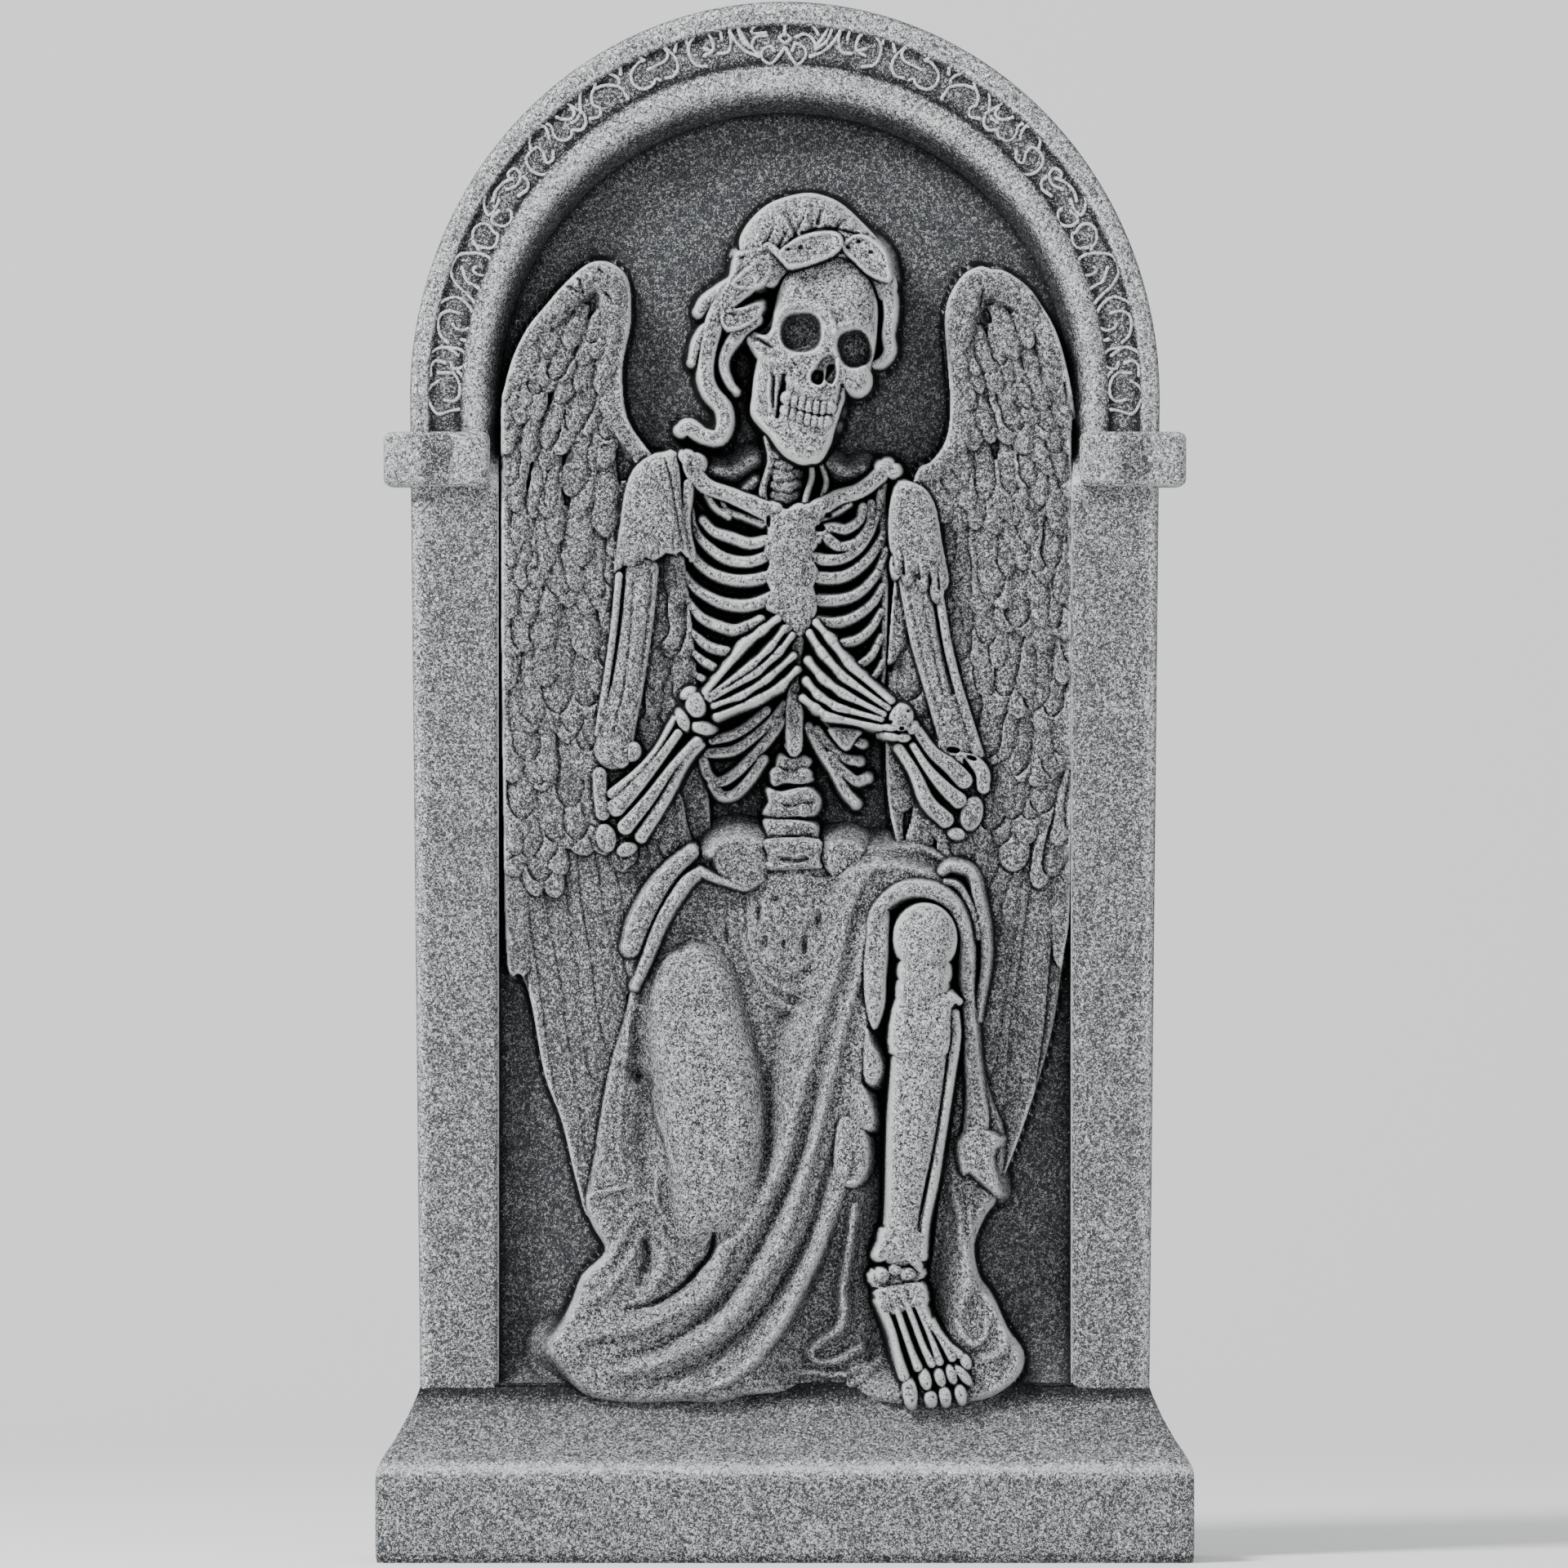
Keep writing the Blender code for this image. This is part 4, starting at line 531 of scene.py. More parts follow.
def armsAndHands():
    layer = newLayer()
    for bone in arms["upper"]:
        rod(layer, bone, roundness=0.75, slope=16, pieces=9)
    for bone in arms["thin"]:
        rod(layer, bone)
    for groove in ([(764, 712, -7, 2.5), (757, 780, -7, 2.5), (748, 840, -5, 2)],
                   [(776, 704, -4, 2), (772, 770, -5, 2.2), (764, 840, -5, 2), (752, 896, -4, 2)],
                   [(798, 704, -4, 2), (793, 760, -5, 2), (784, 830, -4, 2)],
                   [(1112, 716, -4, 2), (1124, 780, -5, 2.2), (1140, 846, -5, 2), (1156, 890, -4, 2)],
                   [(1126, 712, -3, 2), (1140, 786, -4, 2), (1154, 850, -4, 2)]):
        fold(layer, groove)
    for x, y in ((742, 926), (760, 930), (774, 922), (1160, 914), (1178, 908)):
        knobAt(layer, x, y, 11, 12, 84, 9)
    fold(layer, [(1141, 716, -9, 3), (1152, 790, -9, 3), (1166, 850, -9, 3)])
    elbow(layer, [(734, 950, 78, 8), (735, 975, 80, 8), (738, 998, 82, 8)],
          [(742, 1028, 12, 17, 84, 13, -12), (767, 1042, 12, 8, 82, 10, -20)])
    elbow(layer, [(1176, 929, 88, 6), (1192, 934, 88, 7), (1203, 948, 88, 8), (1204, 966, 86, 7)],
          [(1190, 998, 13, 21, 88, 14, 12), (1171, 1023, 10, 7, 84, 8, 10)])
    for x, y, rx, ry, turn in ((1186, 944, 3.5, 16, -25), (1167, 920, 9, 4, 8), (1190, 930, 7, 3, 20)):
        pit(layer, x, y, rx, ry, 26, turn)
    for bone in arms["leftForearm"] + arms["rightForearm"]:
        rod(layer, bone, roundness=0.85, slope=11)
    # the palms, thin and hollow, behind the fingers
    plate(layer, [(1016, 893), (1052, 896), (1048, 906), (1036, 920), (1024, 910)], 84, 8, 8)
    for hand, lift in (("leftFingers", 0.0), ("rightFingers", 1.5)):
        for n, finger in enumerate(arms[hand]):
            p = np.array(finger, float)
            tops = np.array([113, 116, 115, 109]) + lift - 1.2 * n
            wide = np.array([2.6, 3.6, 3.3, 2.8])
            chain(layer, np.column_stack([p, tops, wide]), gap=0.06, knob=1.25, roundness=1.0, slope=11)
            crossCuts(layer, bend(p, 6), 4, 4.5, -5.0)
    # wrists: one large bone and small ones round it
    for wrist in ((852, 865, 11, 14, 120, 12, -8), (836, 884, 7, 12, 112, 9, -25),
                  (860, 893, 12, 7, 112, 9, 10), (843, 851, 8, 6, 108, 6, -30),
                  (1103, 881, 14, 16, 120, 13, 0), (1117, 893, 7, 8, 112, 9, 20),
                  (1088, 893, 9, 4, 114, 6, 10), (1092, 903, 10, 4, 112, 6, 15),
                  (1106, 905, 8, 5, 110, 6, 0)):
        knobAt(layer, *wrist)
    for x, y in ((1090, 886), (1113, 872), (1104, 894)):
        pit(layer, x, y, 3.6, 3.0, 16)
    return layer


# Worn cloth over the shoulders
capes = dict(
    left=[(781, 570), (795, 560), (812, 556), (828, 556), (833, 590), (838, 640), (846, 684), (834, 676),
          (827, 680), (815, 678), (800, 688), (790, 684), (776, 697), (764, 694), (751, 704), (754, 676),
          (759, 645), (764, 610), (771, 586)],
    right=[(1100, 590), (1115, 592), (1130, 598), (1140, 610), (1147, 628), (1152, 660), (1158, 690),
           (1162, 712), (1156, 725), (1146, 718), (1136, 708), (1127, 712), (1120, 702), (1108, 705),
           (1098, 690), (1090, 672), (1088, 640), (1092, 610)],
)


def shoulderCloth():
    layer = newLayer()
    plate(layer, capes["left"], lambda x, y: 99 - 0.0058 * (x - 806) ** 2 - 0.03 * np.abs(y - 620), 14, 15,
          pieces=2, slope=16)
    for x, y, rx, ry in ((1112, 704, 9, 16), (1130, 712, 8, 16), (1147, 722, 9, 18), (1098, 694, 8, 16)):
        knobAt(layer, x, y, rx, ry, 92, 12, 0, 4, slope=16)
    plate(layer, capes["right"], lambda x, y: 99 - 0.0062 * (x - 1120) ** 2 - 0.03 * np.abs(y - 640), 13, 14,
          pieces=2, slope=16)
    # torn fringe: short grooves that run up from the hem
    for n, x in enumerate(np.linspace(756, 824, 13)):
        y = 700 - 0.32 * (x - 752)
        fold(layer, [(x, y + 6, -9, 1.3), (x + 2.5 * np.sin(n * 2.1), y - 14 - 8 * np.sin(n * 1.7), -1, 0.8)])
    for x, y, up in ((1107, 700, 22), (1126, 706, 16), (1139, 712, 15), (1150, 718, 24), (1094, 690, 26)):
        fold(layer, [(x, y + 4, -14, 1.6), (x - 2, y - up, -3, 1.0)])
    fold(layer, [(814, 562, -6, 1.6), (822, 592, -7, 1.8), (830, 640, -6, 1.8), (836, 672, -5, 1.6)])
    fold(layer, [(1098, 650, 3, 3), (1112, 674, 4, 3), (1140, 686, 4, 3), (1156, 684, 3, 3)])
    rod(layer, [(836, 560, 96, 5), (840, 566, 96, 5)], roundness=0.7)
    rod(layer, [(1080, 574, 94, 8), (1094, 578, 94, 8)], roundness=0.6)
    return layer


# The robe: a ground of cloth from the hips to the floor of the niche, the thigh under it, and folds
# drawn on top. A fold is x, y, amount, half width.
robe = dict(
    outline=[(846, 1044), (880, 1034), (925, 1050), (1000, 1046), (1050, 1060), (1090, 1032), (1130, 1030),
             (1162, 1050), (1190, 1066), (1204, 1110), (1209, 1160), (1203, 1226), (1200, 1262),
             (1214, 1340),
             (1232, 1392), (1224, 1464), (1206, 1492), (1192, 1528), (1198, 1566), (1214, 1590),
             (1232, 1630),
             (1252, 1660), (1248, 1686), (1222, 1710), (1184, 1722), (1100, 1724), (1040, 1716),
             (960, 1712),
             (915, 1712), (880, 1721), (838, 1720), (785, 1722), (740, 1718), (712, 1708), (692, 1686),
             (672, 1662), (671, 1646), (688, 1624), (702, 1596), (714, 1566), (742, 1536), (727, 1505),
             (716, 1474), (724, 1430), (740, 1337), (748, 1300), (771, 1218), (762, 1180), (778, 1134),
             (800, 1094), (820, 1070)],
    thigh=[(832, 1163), (850, 1155), (872, 1160), (890, 1180), (905, 1212), (919, 1266), (930, 1313),
           (937, 1360),
           (938, 1400), (932, 1440), (920, 1474), (904, 1500), (884, 1516), (858, 1530), (832, 1520),
           (822, 1480), (818, 1430), (806, 1372), (802, 1330), (796, 1300), (794, 1245), (798, 1205),
           (812, 1174)],
)


def hangingCloth():
    layer = newLayer()

    def ground(x, y):  # deepens from the hips to the floor, and sinks behind the shin
        down = np.interp(y, [1040, 1180, 1400, 1560, 1700, 1742], [54, 62, 72, 84, 96, 100])
        behindShin = np.exp(-((x - 1108) / 46) ** 4) * smooth((y - 1120) / 90) * (1 - smooth((y - 1660) / 50))
        beside = np.exp(-((x - 1010) / 60) ** 4) * smooth((y - 1450) / 120)
        return down - (down - 30) * np.clip(behindShin + 0.62 * beside, 0, 1)

    plate(layer, robe["outline"], ground, 13, 14, slope=20)
    # the lap, a broad sheet that hangs from the raised knee and sweeps down to the left
    plate(layer, [(1012, 1110), (1040, 1062), (1080, 1050), (1130, 1064), (1168, 1090), (1100, 1110),
                  (1084, 1150),
                  (1083, 1200), (1080, 1240), (1066, 1282), (1060, 1360), (1062, 1400), (1052, 1448),
                  (1030, 1460), (1012, 1520), (992, 1568), (968, 1622), (930, 1680), (900, 1712),
                  (860, 1716),
                  (800, 1712), (740, 1712), (690, 1676), (676, 1650), (740, 1640), (820, 1612), (872, 1560),
                  (898, 1500), (930, 1440), (940, 1380), (950, 1290), (985, 1210)],
          lambda x, y: 92 + 10 * smooth((1150 - y) / 90) + 6 * smooth((y - 1400) / 200), 22, 26, slope=2.2)
    plate(layer, robe["thigh"], lambda x, y: 120 - 0.00032 * (y - 1370) ** 2 - 0.0012 * (x - 866) ** 2, 34, 44,
          slope=3)
    # belly of cloth in hanging rounds below the spine
    knobAt(layer, 972, 1140, 62, 98, 86, 32, 0, 6, slope=2)
    soften(layer, 3.5)
    sweeps = [
        # the lap's ridges, from the knee down to the left hem
        [(1076, 1054, 8, 5), (1049, 1093, 10, 6), (1034, 1143, 12, 7), (1025, 1187, 13, 8),
         (1009, 1236, 13, 9),
         (993, 1292, 14, 10), (976, 1350, 15, 10), (958, 1420, 16, 11), (925, 1480, 17, 12),
         (890, 1530, 18, 12),
         (866, 1580, 19, 12), (826, 1608, 18, 12), (780, 1628, 16, 11), (738, 1636, 12, 9),
         (700, 1650, 8, 9)],
        [(1085, 1096, 8, 4), (1066, 1128, 10, 4.5), (1057, 1160, 11, 5), (1051, 1202, 12, 6),
         (1038, 1240, 12, 7), (1025, 1292, 13, 8), (1013, 1338, 15, 8), (1000, 1390, 17, 9),
         (982, 1450, 18, 10),
         (957, 1524, 19, 11), (930, 1568, 20, 11), (898, 1612, 20, 11), (862, 1644, 18, 11),
         (812, 1668, 15, 10), (760, 1684, 10, 10)],
        [(1062, 1240, 6, 5), (1052, 1330, 10, 6), (1046, 1400, 14, 7), (1030, 1462, 18, 8),
         (1008, 1525, 22, 8),
         (987, 1570, 22, 8), (966, 1610, 22, 8), (944, 1645, 20, 8), (914, 1678, 18, 8), (876, 1700, 14, 8),
         (830, 1708, 10, 8)],
    ]
    valleys = [
        [(960, 1250, -7, 10), (948, 1330, -10, 12), (944, 1400, -12, 10), (934, 1460, -12, 8),
         (900, 1515, -8, 6)],
        [(1000, 1330, -8, 6), (985, 1400, -12, 7), (958, 1470, -16, 8), (928, 1530, -18, 9),
         (890, 1590, -18, 9), (850, 1624, -15, 8), (806, 1652, -12, 8), (760, 1666, -7, 7)],
        [(1030, 1380, -8, 5), (1012, 1440, -14, 6), (990, 1512, -18, 7), (962, 1566, -20, 7),
         (930, 1612, -20, 7), (890, 1650, -18, 7), (850, 1676, -13, 7), (806, 1692, -8, 6)],
        # the slot that opens under the thigh
        [(874, 1514, -16, 3), (871, 1536, -26, 4), (856, 1556, -28, 5), (835, 1578, -24, 4.5),
         (804, 1597, -14, 4), (770, 1606, -6, 4)],
        [(790, 1524, -16, 6), (793, 1545, -18, 7), (784, 1572, -10, 7)],
        [(742, 1300, 0, 4), (790, 1330, -14, 12), (788, 1400, -16, 13), (792, 1450, -12, 9)],
        [(783, 1210, -12, 5), (780, 1260, -14, 8), (782, 1320, -15, 10)],
    ]
    ridges = [
        # curtain at the left, its edge and its foot
        [(781, 1200, 10, 4), (768, 1228, 10, 4), (750, 1296, 9, 4.5), (738, 1350, 9, 5), (730, 1400, 8, 5)],
        [(720, 1468, 9, 3), (733, 1463, 9, 2.6), (757, 1459, 8, 2.6), (776, 1456, 5, 3)],
        [(719, 1470, 9, 3), (720, 1484, 9, 3), (729, 1506, 8, 3.5), (738, 1524, 6, 4)],
        [(803, 1438, 6, 2.6), (804, 1474, 8, 2.6), (814, 1494, 8, 2.6), (822, 1508, 5, 3)],
        [(797, 1313, 6, 2.4), (803, 1327, 7, 2.4), (801, 1346, 7, 2.4), (806, 1372, 7, 2.4),
         (815, 1396, 6, 2.6), (822, 1424, 5, 3)],
        [(781, 1486, 7, 5), (766, 1510, 9, 6), (749, 1536, 10, 7), (734, 1552, 9, 7), (716, 1566, 6, 7)],
        [(805, 1514, 6, 4), (818, 1526, 8, 4), (832, 1542, 8, 4), (846, 1555, 5, 4)],
        [(812, 1545, 9, 8), (806, 1570, 9, 9), (790, 1590, 8, 9)],
        [(682, 1640, 6, 5), (694, 1622, 6, 6), (708, 1600, 6, 7), (730, 1590, 5, 9)],
        # small folds between the hip and the thigh
        [(905, 1092, 6, 2.6), (908, 1128, 7, 3), (912, 1160, 7, 3.2), (926, 1196, 7, 3.5),
         (944, 1224, 7, 3.5), (966, 1234, 5, 3.5)],
        [(868, 1116, 3, 2.6), (870, 1132, 4, 3), (882, 1150, 5, 3), (892, 1170, 5, 3)],
        [(818, 1160, 3, 2.2), (846, 1148, 4, 2.2), (872, 1157, 4, 2.4), (892, 1182, 4, 2.6),
         (905, 1209, 3, 3)],
        [(827, 1172, 2, 1.8), (844, 1166, 3, 1.8), (860, 1174, 2, 1.8)],
        # curtain at the right of the shin
        [(1165, 1456, 9, 4), (1174, 1488, 12, 5), (1177, 1514, 13, 6), (1184, 1545, 14, 9),
         (1184, 1580, 14, 10), (1176, 1606, 10, 7)],
        [(1154, 1407, 8, 2.6), (1155, 1436, 9, 2.6), (1151, 1470, 9, 2.6), (1147, 1514, 8, 2.6),
         (1141, 1558, 6, 2.6), (1136, 1580, 4, 2.6)],
        [(1187, 1480, 8, 3), (1188, 1504, 9, 3), (1189, 1524, 6, 3)],
        [(1172, 1622, 10, 4), (1180, 1640, 12, 5), (1194, 1649, 12, 5), (1206, 1638, 11, 4),
         (1208, 1618, 9, 4)],
        [(1206, 1592, 9, 4), (1218, 1602, 11, 5), (1228, 1622, 12, 5), (1231, 1640, 12, 5),
         (1226, 1658, 12, 6), (1208, 1666, 10, 6)],
        [(1244, 1662, 8, 5), (1246, 1680, 9, 6), (1230, 1698, 9, 7), (1200, 1712, 7, 7)],
        # low cloth behind the foot
        [(1047, 1480, 16, 6), (1042, 1518, 20, 7), (1036, 1554, 24, 8), (1032, 1586, 26, 8),
         (1034, 1612, 26, 9),
         (1026, 1632, 24, 8), (1006, 1644, 20, 7), (993, 1660, 18, 6), (1004, 1672, 16, 5),
         (1028, 1668, 14, 5), (1054, 1654, 12, 6)],
        [(964, 1686, 8, 4), (996, 1684, 10, 4), (1029, 1688, 10, 5), (1062, 1676, 8, 5)],
        [(1040, 1700, 8, 4), (1060, 1688, 8, 4), (1078, 1668, 8, 5)],
    ]
    ridges += [
        [(1000, 1060, 5, 4), (1040, 1046, 8, 5), (1084, 1040, 9, 6), (1130, 1044, 8, 6),
         (1176, 1062, 5, 5)],
        [(1010, 1080, 5, 4), (1046, 1068, 7, 5), (1090, 1062, 8, 5), (1136, 1068, 6, 5)],
        [(1120, 1036, 6, 4), (1150, 1050, 7, 4.5), (1180, 1066, 6, 4)],
        [(842, 1226, 1, 7), (850, 1300, 3, 9), (846, 1380, 3, 9), (834, 1450, 1, 8)],
        [(884, 1236, 1, 6), (900, 1320, 2, 8), (902, 1400, 2, 8), (886, 1470, 1, 8)],
        [(770, 1250, 4, 3), (762, 1330, 6, 4), (758, 1400, 5, 4), (764, 1440, 3, 3)],
        [(752, 1500, 5, 4), (770, 1478, 6, 4), (790, 1470, 5, 4), (806, 1480, 3, 3)],
        [(740, 1586, 7, 6), (760, 1560, 8, 6), (776, 1534, 7, 5), (786, 1508, 4, 4)],
        [(820, 1588, 6, 5), (850, 1566, 7, 5), (872, 1540, 6, 5), (886, 1520, 4, 4)],
    ]
    for path in sweeps:
        fold(layer, path, lean=-0.25)
    for path in valleys + ridges:
        fold(layer, path)
    # belly folds, U under U
    for path in ([(934, 1104, 3, 3), (932, 1140, 5, 3.5), (944, 1176, 6, 4), (966, 1192, 6, 4),
                  (992, 1178, 5, 3.6), (1004, 1146, 4, 3)],
                 [(918, 1096, 3, 3.4), (918, 1142, 5, 4), (930, 1186, 7, 4.4), (958, 1214, 8, 4.6),
                  (990, 1208, 6, 4.4), (1012, 1176, 5, 4), (1022, 1134, 3, 3.4)],
                 [(930, 1210, 3, 4), (954, 1236, 7, 5), (988, 1236, 6, 5), (1010, 1214, 3, 4)],
                 [(950, 1112, 3, 2.4), (954, 1140, 4, 2.6), (962, 1160, 3, 2.4)],
                 [(990, 1108, 3, 2.4), (984, 1136, 4, 2.6), (974, 1160, 3, 2.4)]):
        fold(layer, path)
    for x, y, rx, ry, deep in ((930, 1120, 5, 14, 12), (936, 1156, 5, 12, 12), (960, 1158, 3, 10, 10),
                               (985, 1160, 5, 13, 12), (1002, 1130, 6, 14, 9), (950, 1104, 7, 6, 9),
                               (890, 1146, 4, 16, 8), (877, 1128, 3, 10, 5)):
        pit(layer, x, y, rx, ry, deep, power=2)
    soften(layer, 1.3)
    # hems and edges that are drawn after the softening
    hems = [
        [(846, 1046, 82, 8), (824, 1066, 90, 10), (803, 1094, 92, 12), (784, 1130, 92, 13),
         (773, 1162, 88, 11)],
        [(857, 1070, 88, 5), (839, 1084, 93, 7), (819, 1114, 94, 7), (804, 1144, 92, 7), (790, 1182, 88, 6),
         (778, 1210, 84, 4)],
        [(857, 1069, 88, 4), (872, 1076, 86, 3.4), (892, 1083, 84, 3), (914, 1089, 84, 3),
         (929, 1080, 82, 3)],
        # the hood of cloth round the knee and down the right of the shin
        [(1066, 1150, 108, 5), (1072, 1122, 118, 7), (1088, 1102, 126, 8), (1108, 1091, 130, 9),
         (1130, 1090, 131, 9), (1152, 1098, 128, 9), (1169, 1113, 122, 8), (1180, 1138, 116, 7),
         (1184, 1170, 110, 7), (1184, 1210, 104, 7), (1187, 1250, 100, 7), (1190, 1300, 98, 8),
         (1194, 1340, 98, 10), (1196, 1372, 98, 14), (1192, 1404, 98, 15)],
        [(1154, 1070, 98, 4), (1164, 1063, 102, 5), (1182, 1066, 102, 5), (1192, 1076, 100, 5),
         (1197, 1098, 96, 5),
         (1204, 1130, 92, 5), (1207, 1160, 90, 4.5), (1206, 1190, 88, 4), (1200, 1224, 86, 4),
         (1197, 1250, 84, 3)],
        [(1158, 1082, 98, 3.4), (1170, 1085, 98, 3.4), (1180, 1096, 94, 3.4), (1192, 1120, 90, 3),
         (1198, 1150, 88, 3)],
    ]
    for path in hems:
        rod(layer, path, roundness=0.8, slope=6)
    plate(layer, [(1066, 1128), (1086, 1112), (1088, 1150), (1084, 1200), (1082, 1236), (1070, 1262),
                  (1060, 1230), (1058, 1180)], 114, 8, 8)
    for lobe in ([(1060, 1262), (1068, 1280), (1079, 1302), (1078, 1318), (1068, 1330), (1058, 1318)],
                 [(1050, 1330), (1064, 1346), (1070, 1378), (1060, 1386), (1046, 1378)],
                 [(1030, 1370), (1058, 1386), (1063, 1424), (1056, 1446), (1044, 1455), (1028, 1450),
                  (1022, 1420)],
                 [(1174, 1400), (1196, 1384), (1224, 1398), (1215, 1418), (1222, 1462), (1203, 1451),
                  (1188, 1438), (1178, 1436)]):
        plate(layer, lobe, lambda x, y: 106 - 0.02 * (y - 1240), 5, 7, slope=5, pieces=3)
    return layer


# Hip bones, lumbar blocks and sacrum, and the bent leg with its foot
leg = dict(
    shin=[(1130, 1214, 146, 31), (1129, 1260, 143, 32), (1125, 1320, 140, 33), (1118, 1390, 136, 30),
          (1110, 1450, 131, 23), (1105, 1500, 127, 20), (1102, 1530, 124, 24)],
    fibula=[(1168, 1244, 128, 5), (1170, 1270, 128, 5), (1163, 1315, 128, 5), (1156, 1361, 127, 5),
            (1150, 1400, 125, 5), (1142, 1450, 123, 5), (1131, 1500, 121, 5), (1127, 1540, 120, 6)],
    metatarsals=[[(1078, 1596), (1092, 1632), (1099, 1660), (1107, 1688)],
                 [(1094, 1592), (1105, 1626), (1116, 1657), (1124, 1677)],
                 [(1106, 1588), (1119, 1621), (1130, 1650), (1141, 1672)],
                 [(1116, 1584), (1130, 1616), (1141, 1643), (1150, 1670)],
                 [(1123, 1584), (1137, 1619), (1151, 1641), (1166, 1665)],
                 [(1140, 1622), (1150, 1636), (1162, 1650), (1174, 1661)]],
    toes=[(1114, 1708, 8.5, 17, -8), (1133, 1692, 6.5, 12, -14), (1151, 1689, 6, 11, -16),
          (1165, 1686, 6, 11, -20),
          (1179, 1686, 5.5, 14, -38), (1182, 1670, 6, 9, -24), (1140, 1715, 7.5, 9, -8),
          (1157, 1712, 7, 11, -8), (1176, 1709, 6.5, 11, -12)],
)


def hipsAndSpine():
    layer = newLayer()
    plate(layer, [(870, 1046), (876, 1034), (900, 1026), (930, 1030), (942, 1060), (934, 1084), (910, 1090),
                  (886, 1082)], 84, 18, 18, slope=3)
    plate(layer, [(1004, 1050), (1012, 1034), (1036, 1030), (1060, 1042), (1052, 1072),
                  (1024, 1080)], 80, 14, 14,
          slope=3)
    rod(layer, [(871, 1046, 82, 5), (882, 1036, 86, 5), (904, 1030, 86, 5), (930, 1036, 82, 5)], slope=3)
    rod(layer, [(898, 1080, 84, 4), (916, 1085, 86, 4), (932, 1078, 84, 4)], slope=3)
    plate(layer, [(938, 1030), (1002, 1030), (1004, 1054), (1006, 1064), (994, 1066), (950, 1068),
                  (938, 1064), (940, 1050)], 86, 7, 10)
    fold(layer, [(958, 1054, -9, 3), (975, 1056, -9, 3), (988, 1054, -9, 3)])
    plate(layer, [(944, 1074), (1004, 1074), (1000, 1096), (984, 1104), (962, 1104),
                  (948, 1096)], 76, 8, 10)
    for x, y, rx, ry in ((970, 1078, 7, 5), (958, 1092, 5, 5), (984, 1094, 5, 5)):
        pit(layer, x, y, rx, ry, 9, power=2)
    return layer


def legAndFoot():
    layer = newLayer()
    rod(layer, leg["shin"], roundness=0.62, slope=12, pieces=12)
    soften(layer, 2.0)
    knobAt(layer, 1133, 1150, 38, 42, 158, 30, 0, 4, slope=11)
    knobAt(layer, 1132, 1192, 31, 30, 148, 22, 0, 6, slope=11)
    plate(layer, [(1099, 1226), (1130, 1222), (1160, 1218), (1176, 1228), (1164, 1236), (1160, 1290),
                  (1130, 1300), (1092, 1290)], 145, 14, 14, slope=11)
    fold(layer, [(1106, 1236, -2.5, 1.4), (1112, 1256, -2.5, 1.4), (1127, 1278, -2.5, 1.4),
                 (1141, 1262, -2.5, 1.4), (1152, 1240, -2.5, 1.4)])
    fold(layer, [(1100, 1234, -2.5, 1.6), (1130, 1238, -2.5, 1.6), (1160, 1231, -3, 1.6)])
    rod(layer, [(1162, 1221, 138, 5), (1174, 1228, 132, 3)], slope=11)
    rod(layer, leg["fibula"], slope=11)
    fold(layer, [(1160, 1300, -8, 2), (1150, 1370, -8, 2), (1136, 1450, -7, 1.8), (1126, 1510, -6, 1.8)])
    # ankle: the shin's flared end, a gap, and three small bones
    plate(layer, [(1084, 1506), (1122, 1506), (1126, 1536), (1127, 1560), (1112, 1548), (1096, 1541),
                  (1078, 1546), (1070, 1540), (1076, 1524)], 124, 8, 9, slope=11)
    for knob in ((1080, 1564, 9, 9, 120, 9), (1096, 1557, 8, 7, 120, 8), (1111, 1562, 10, 8, 120, 8)):
        knobAt(layer, *knob)
    plate(layer, [(1068, 1560), (1126, 1556), (1124, 1570), (1076, 1580)], 108, 4, 4, slope=11)
    plate(layer, [(1074, 1582), (1098, 1576), (1128, 1574), (1134, 1600), (1114, 1604), (1094, 1612),
                  (1078, 1604)],
          118, 6, 6, slope=11)
    for n, bone in enumerate(leg["metatarsals"]):
        p = np.array(bone, float)
        wide = np.array([4.4, 3.0, 3.0, 4.6]) * (1.15 if n == 0 else 0.95)
        rod(layer, np.column_stack([p, [121, 122, 122, 122], wide]), roundness=1.0, slope=11)
    for n, (x, y, rx, ry, turn) in enumerate(leg["toes"]):
        knobAt(layer, x, y, rx, ry, 124, 8, turn, slope=11)
    return layer


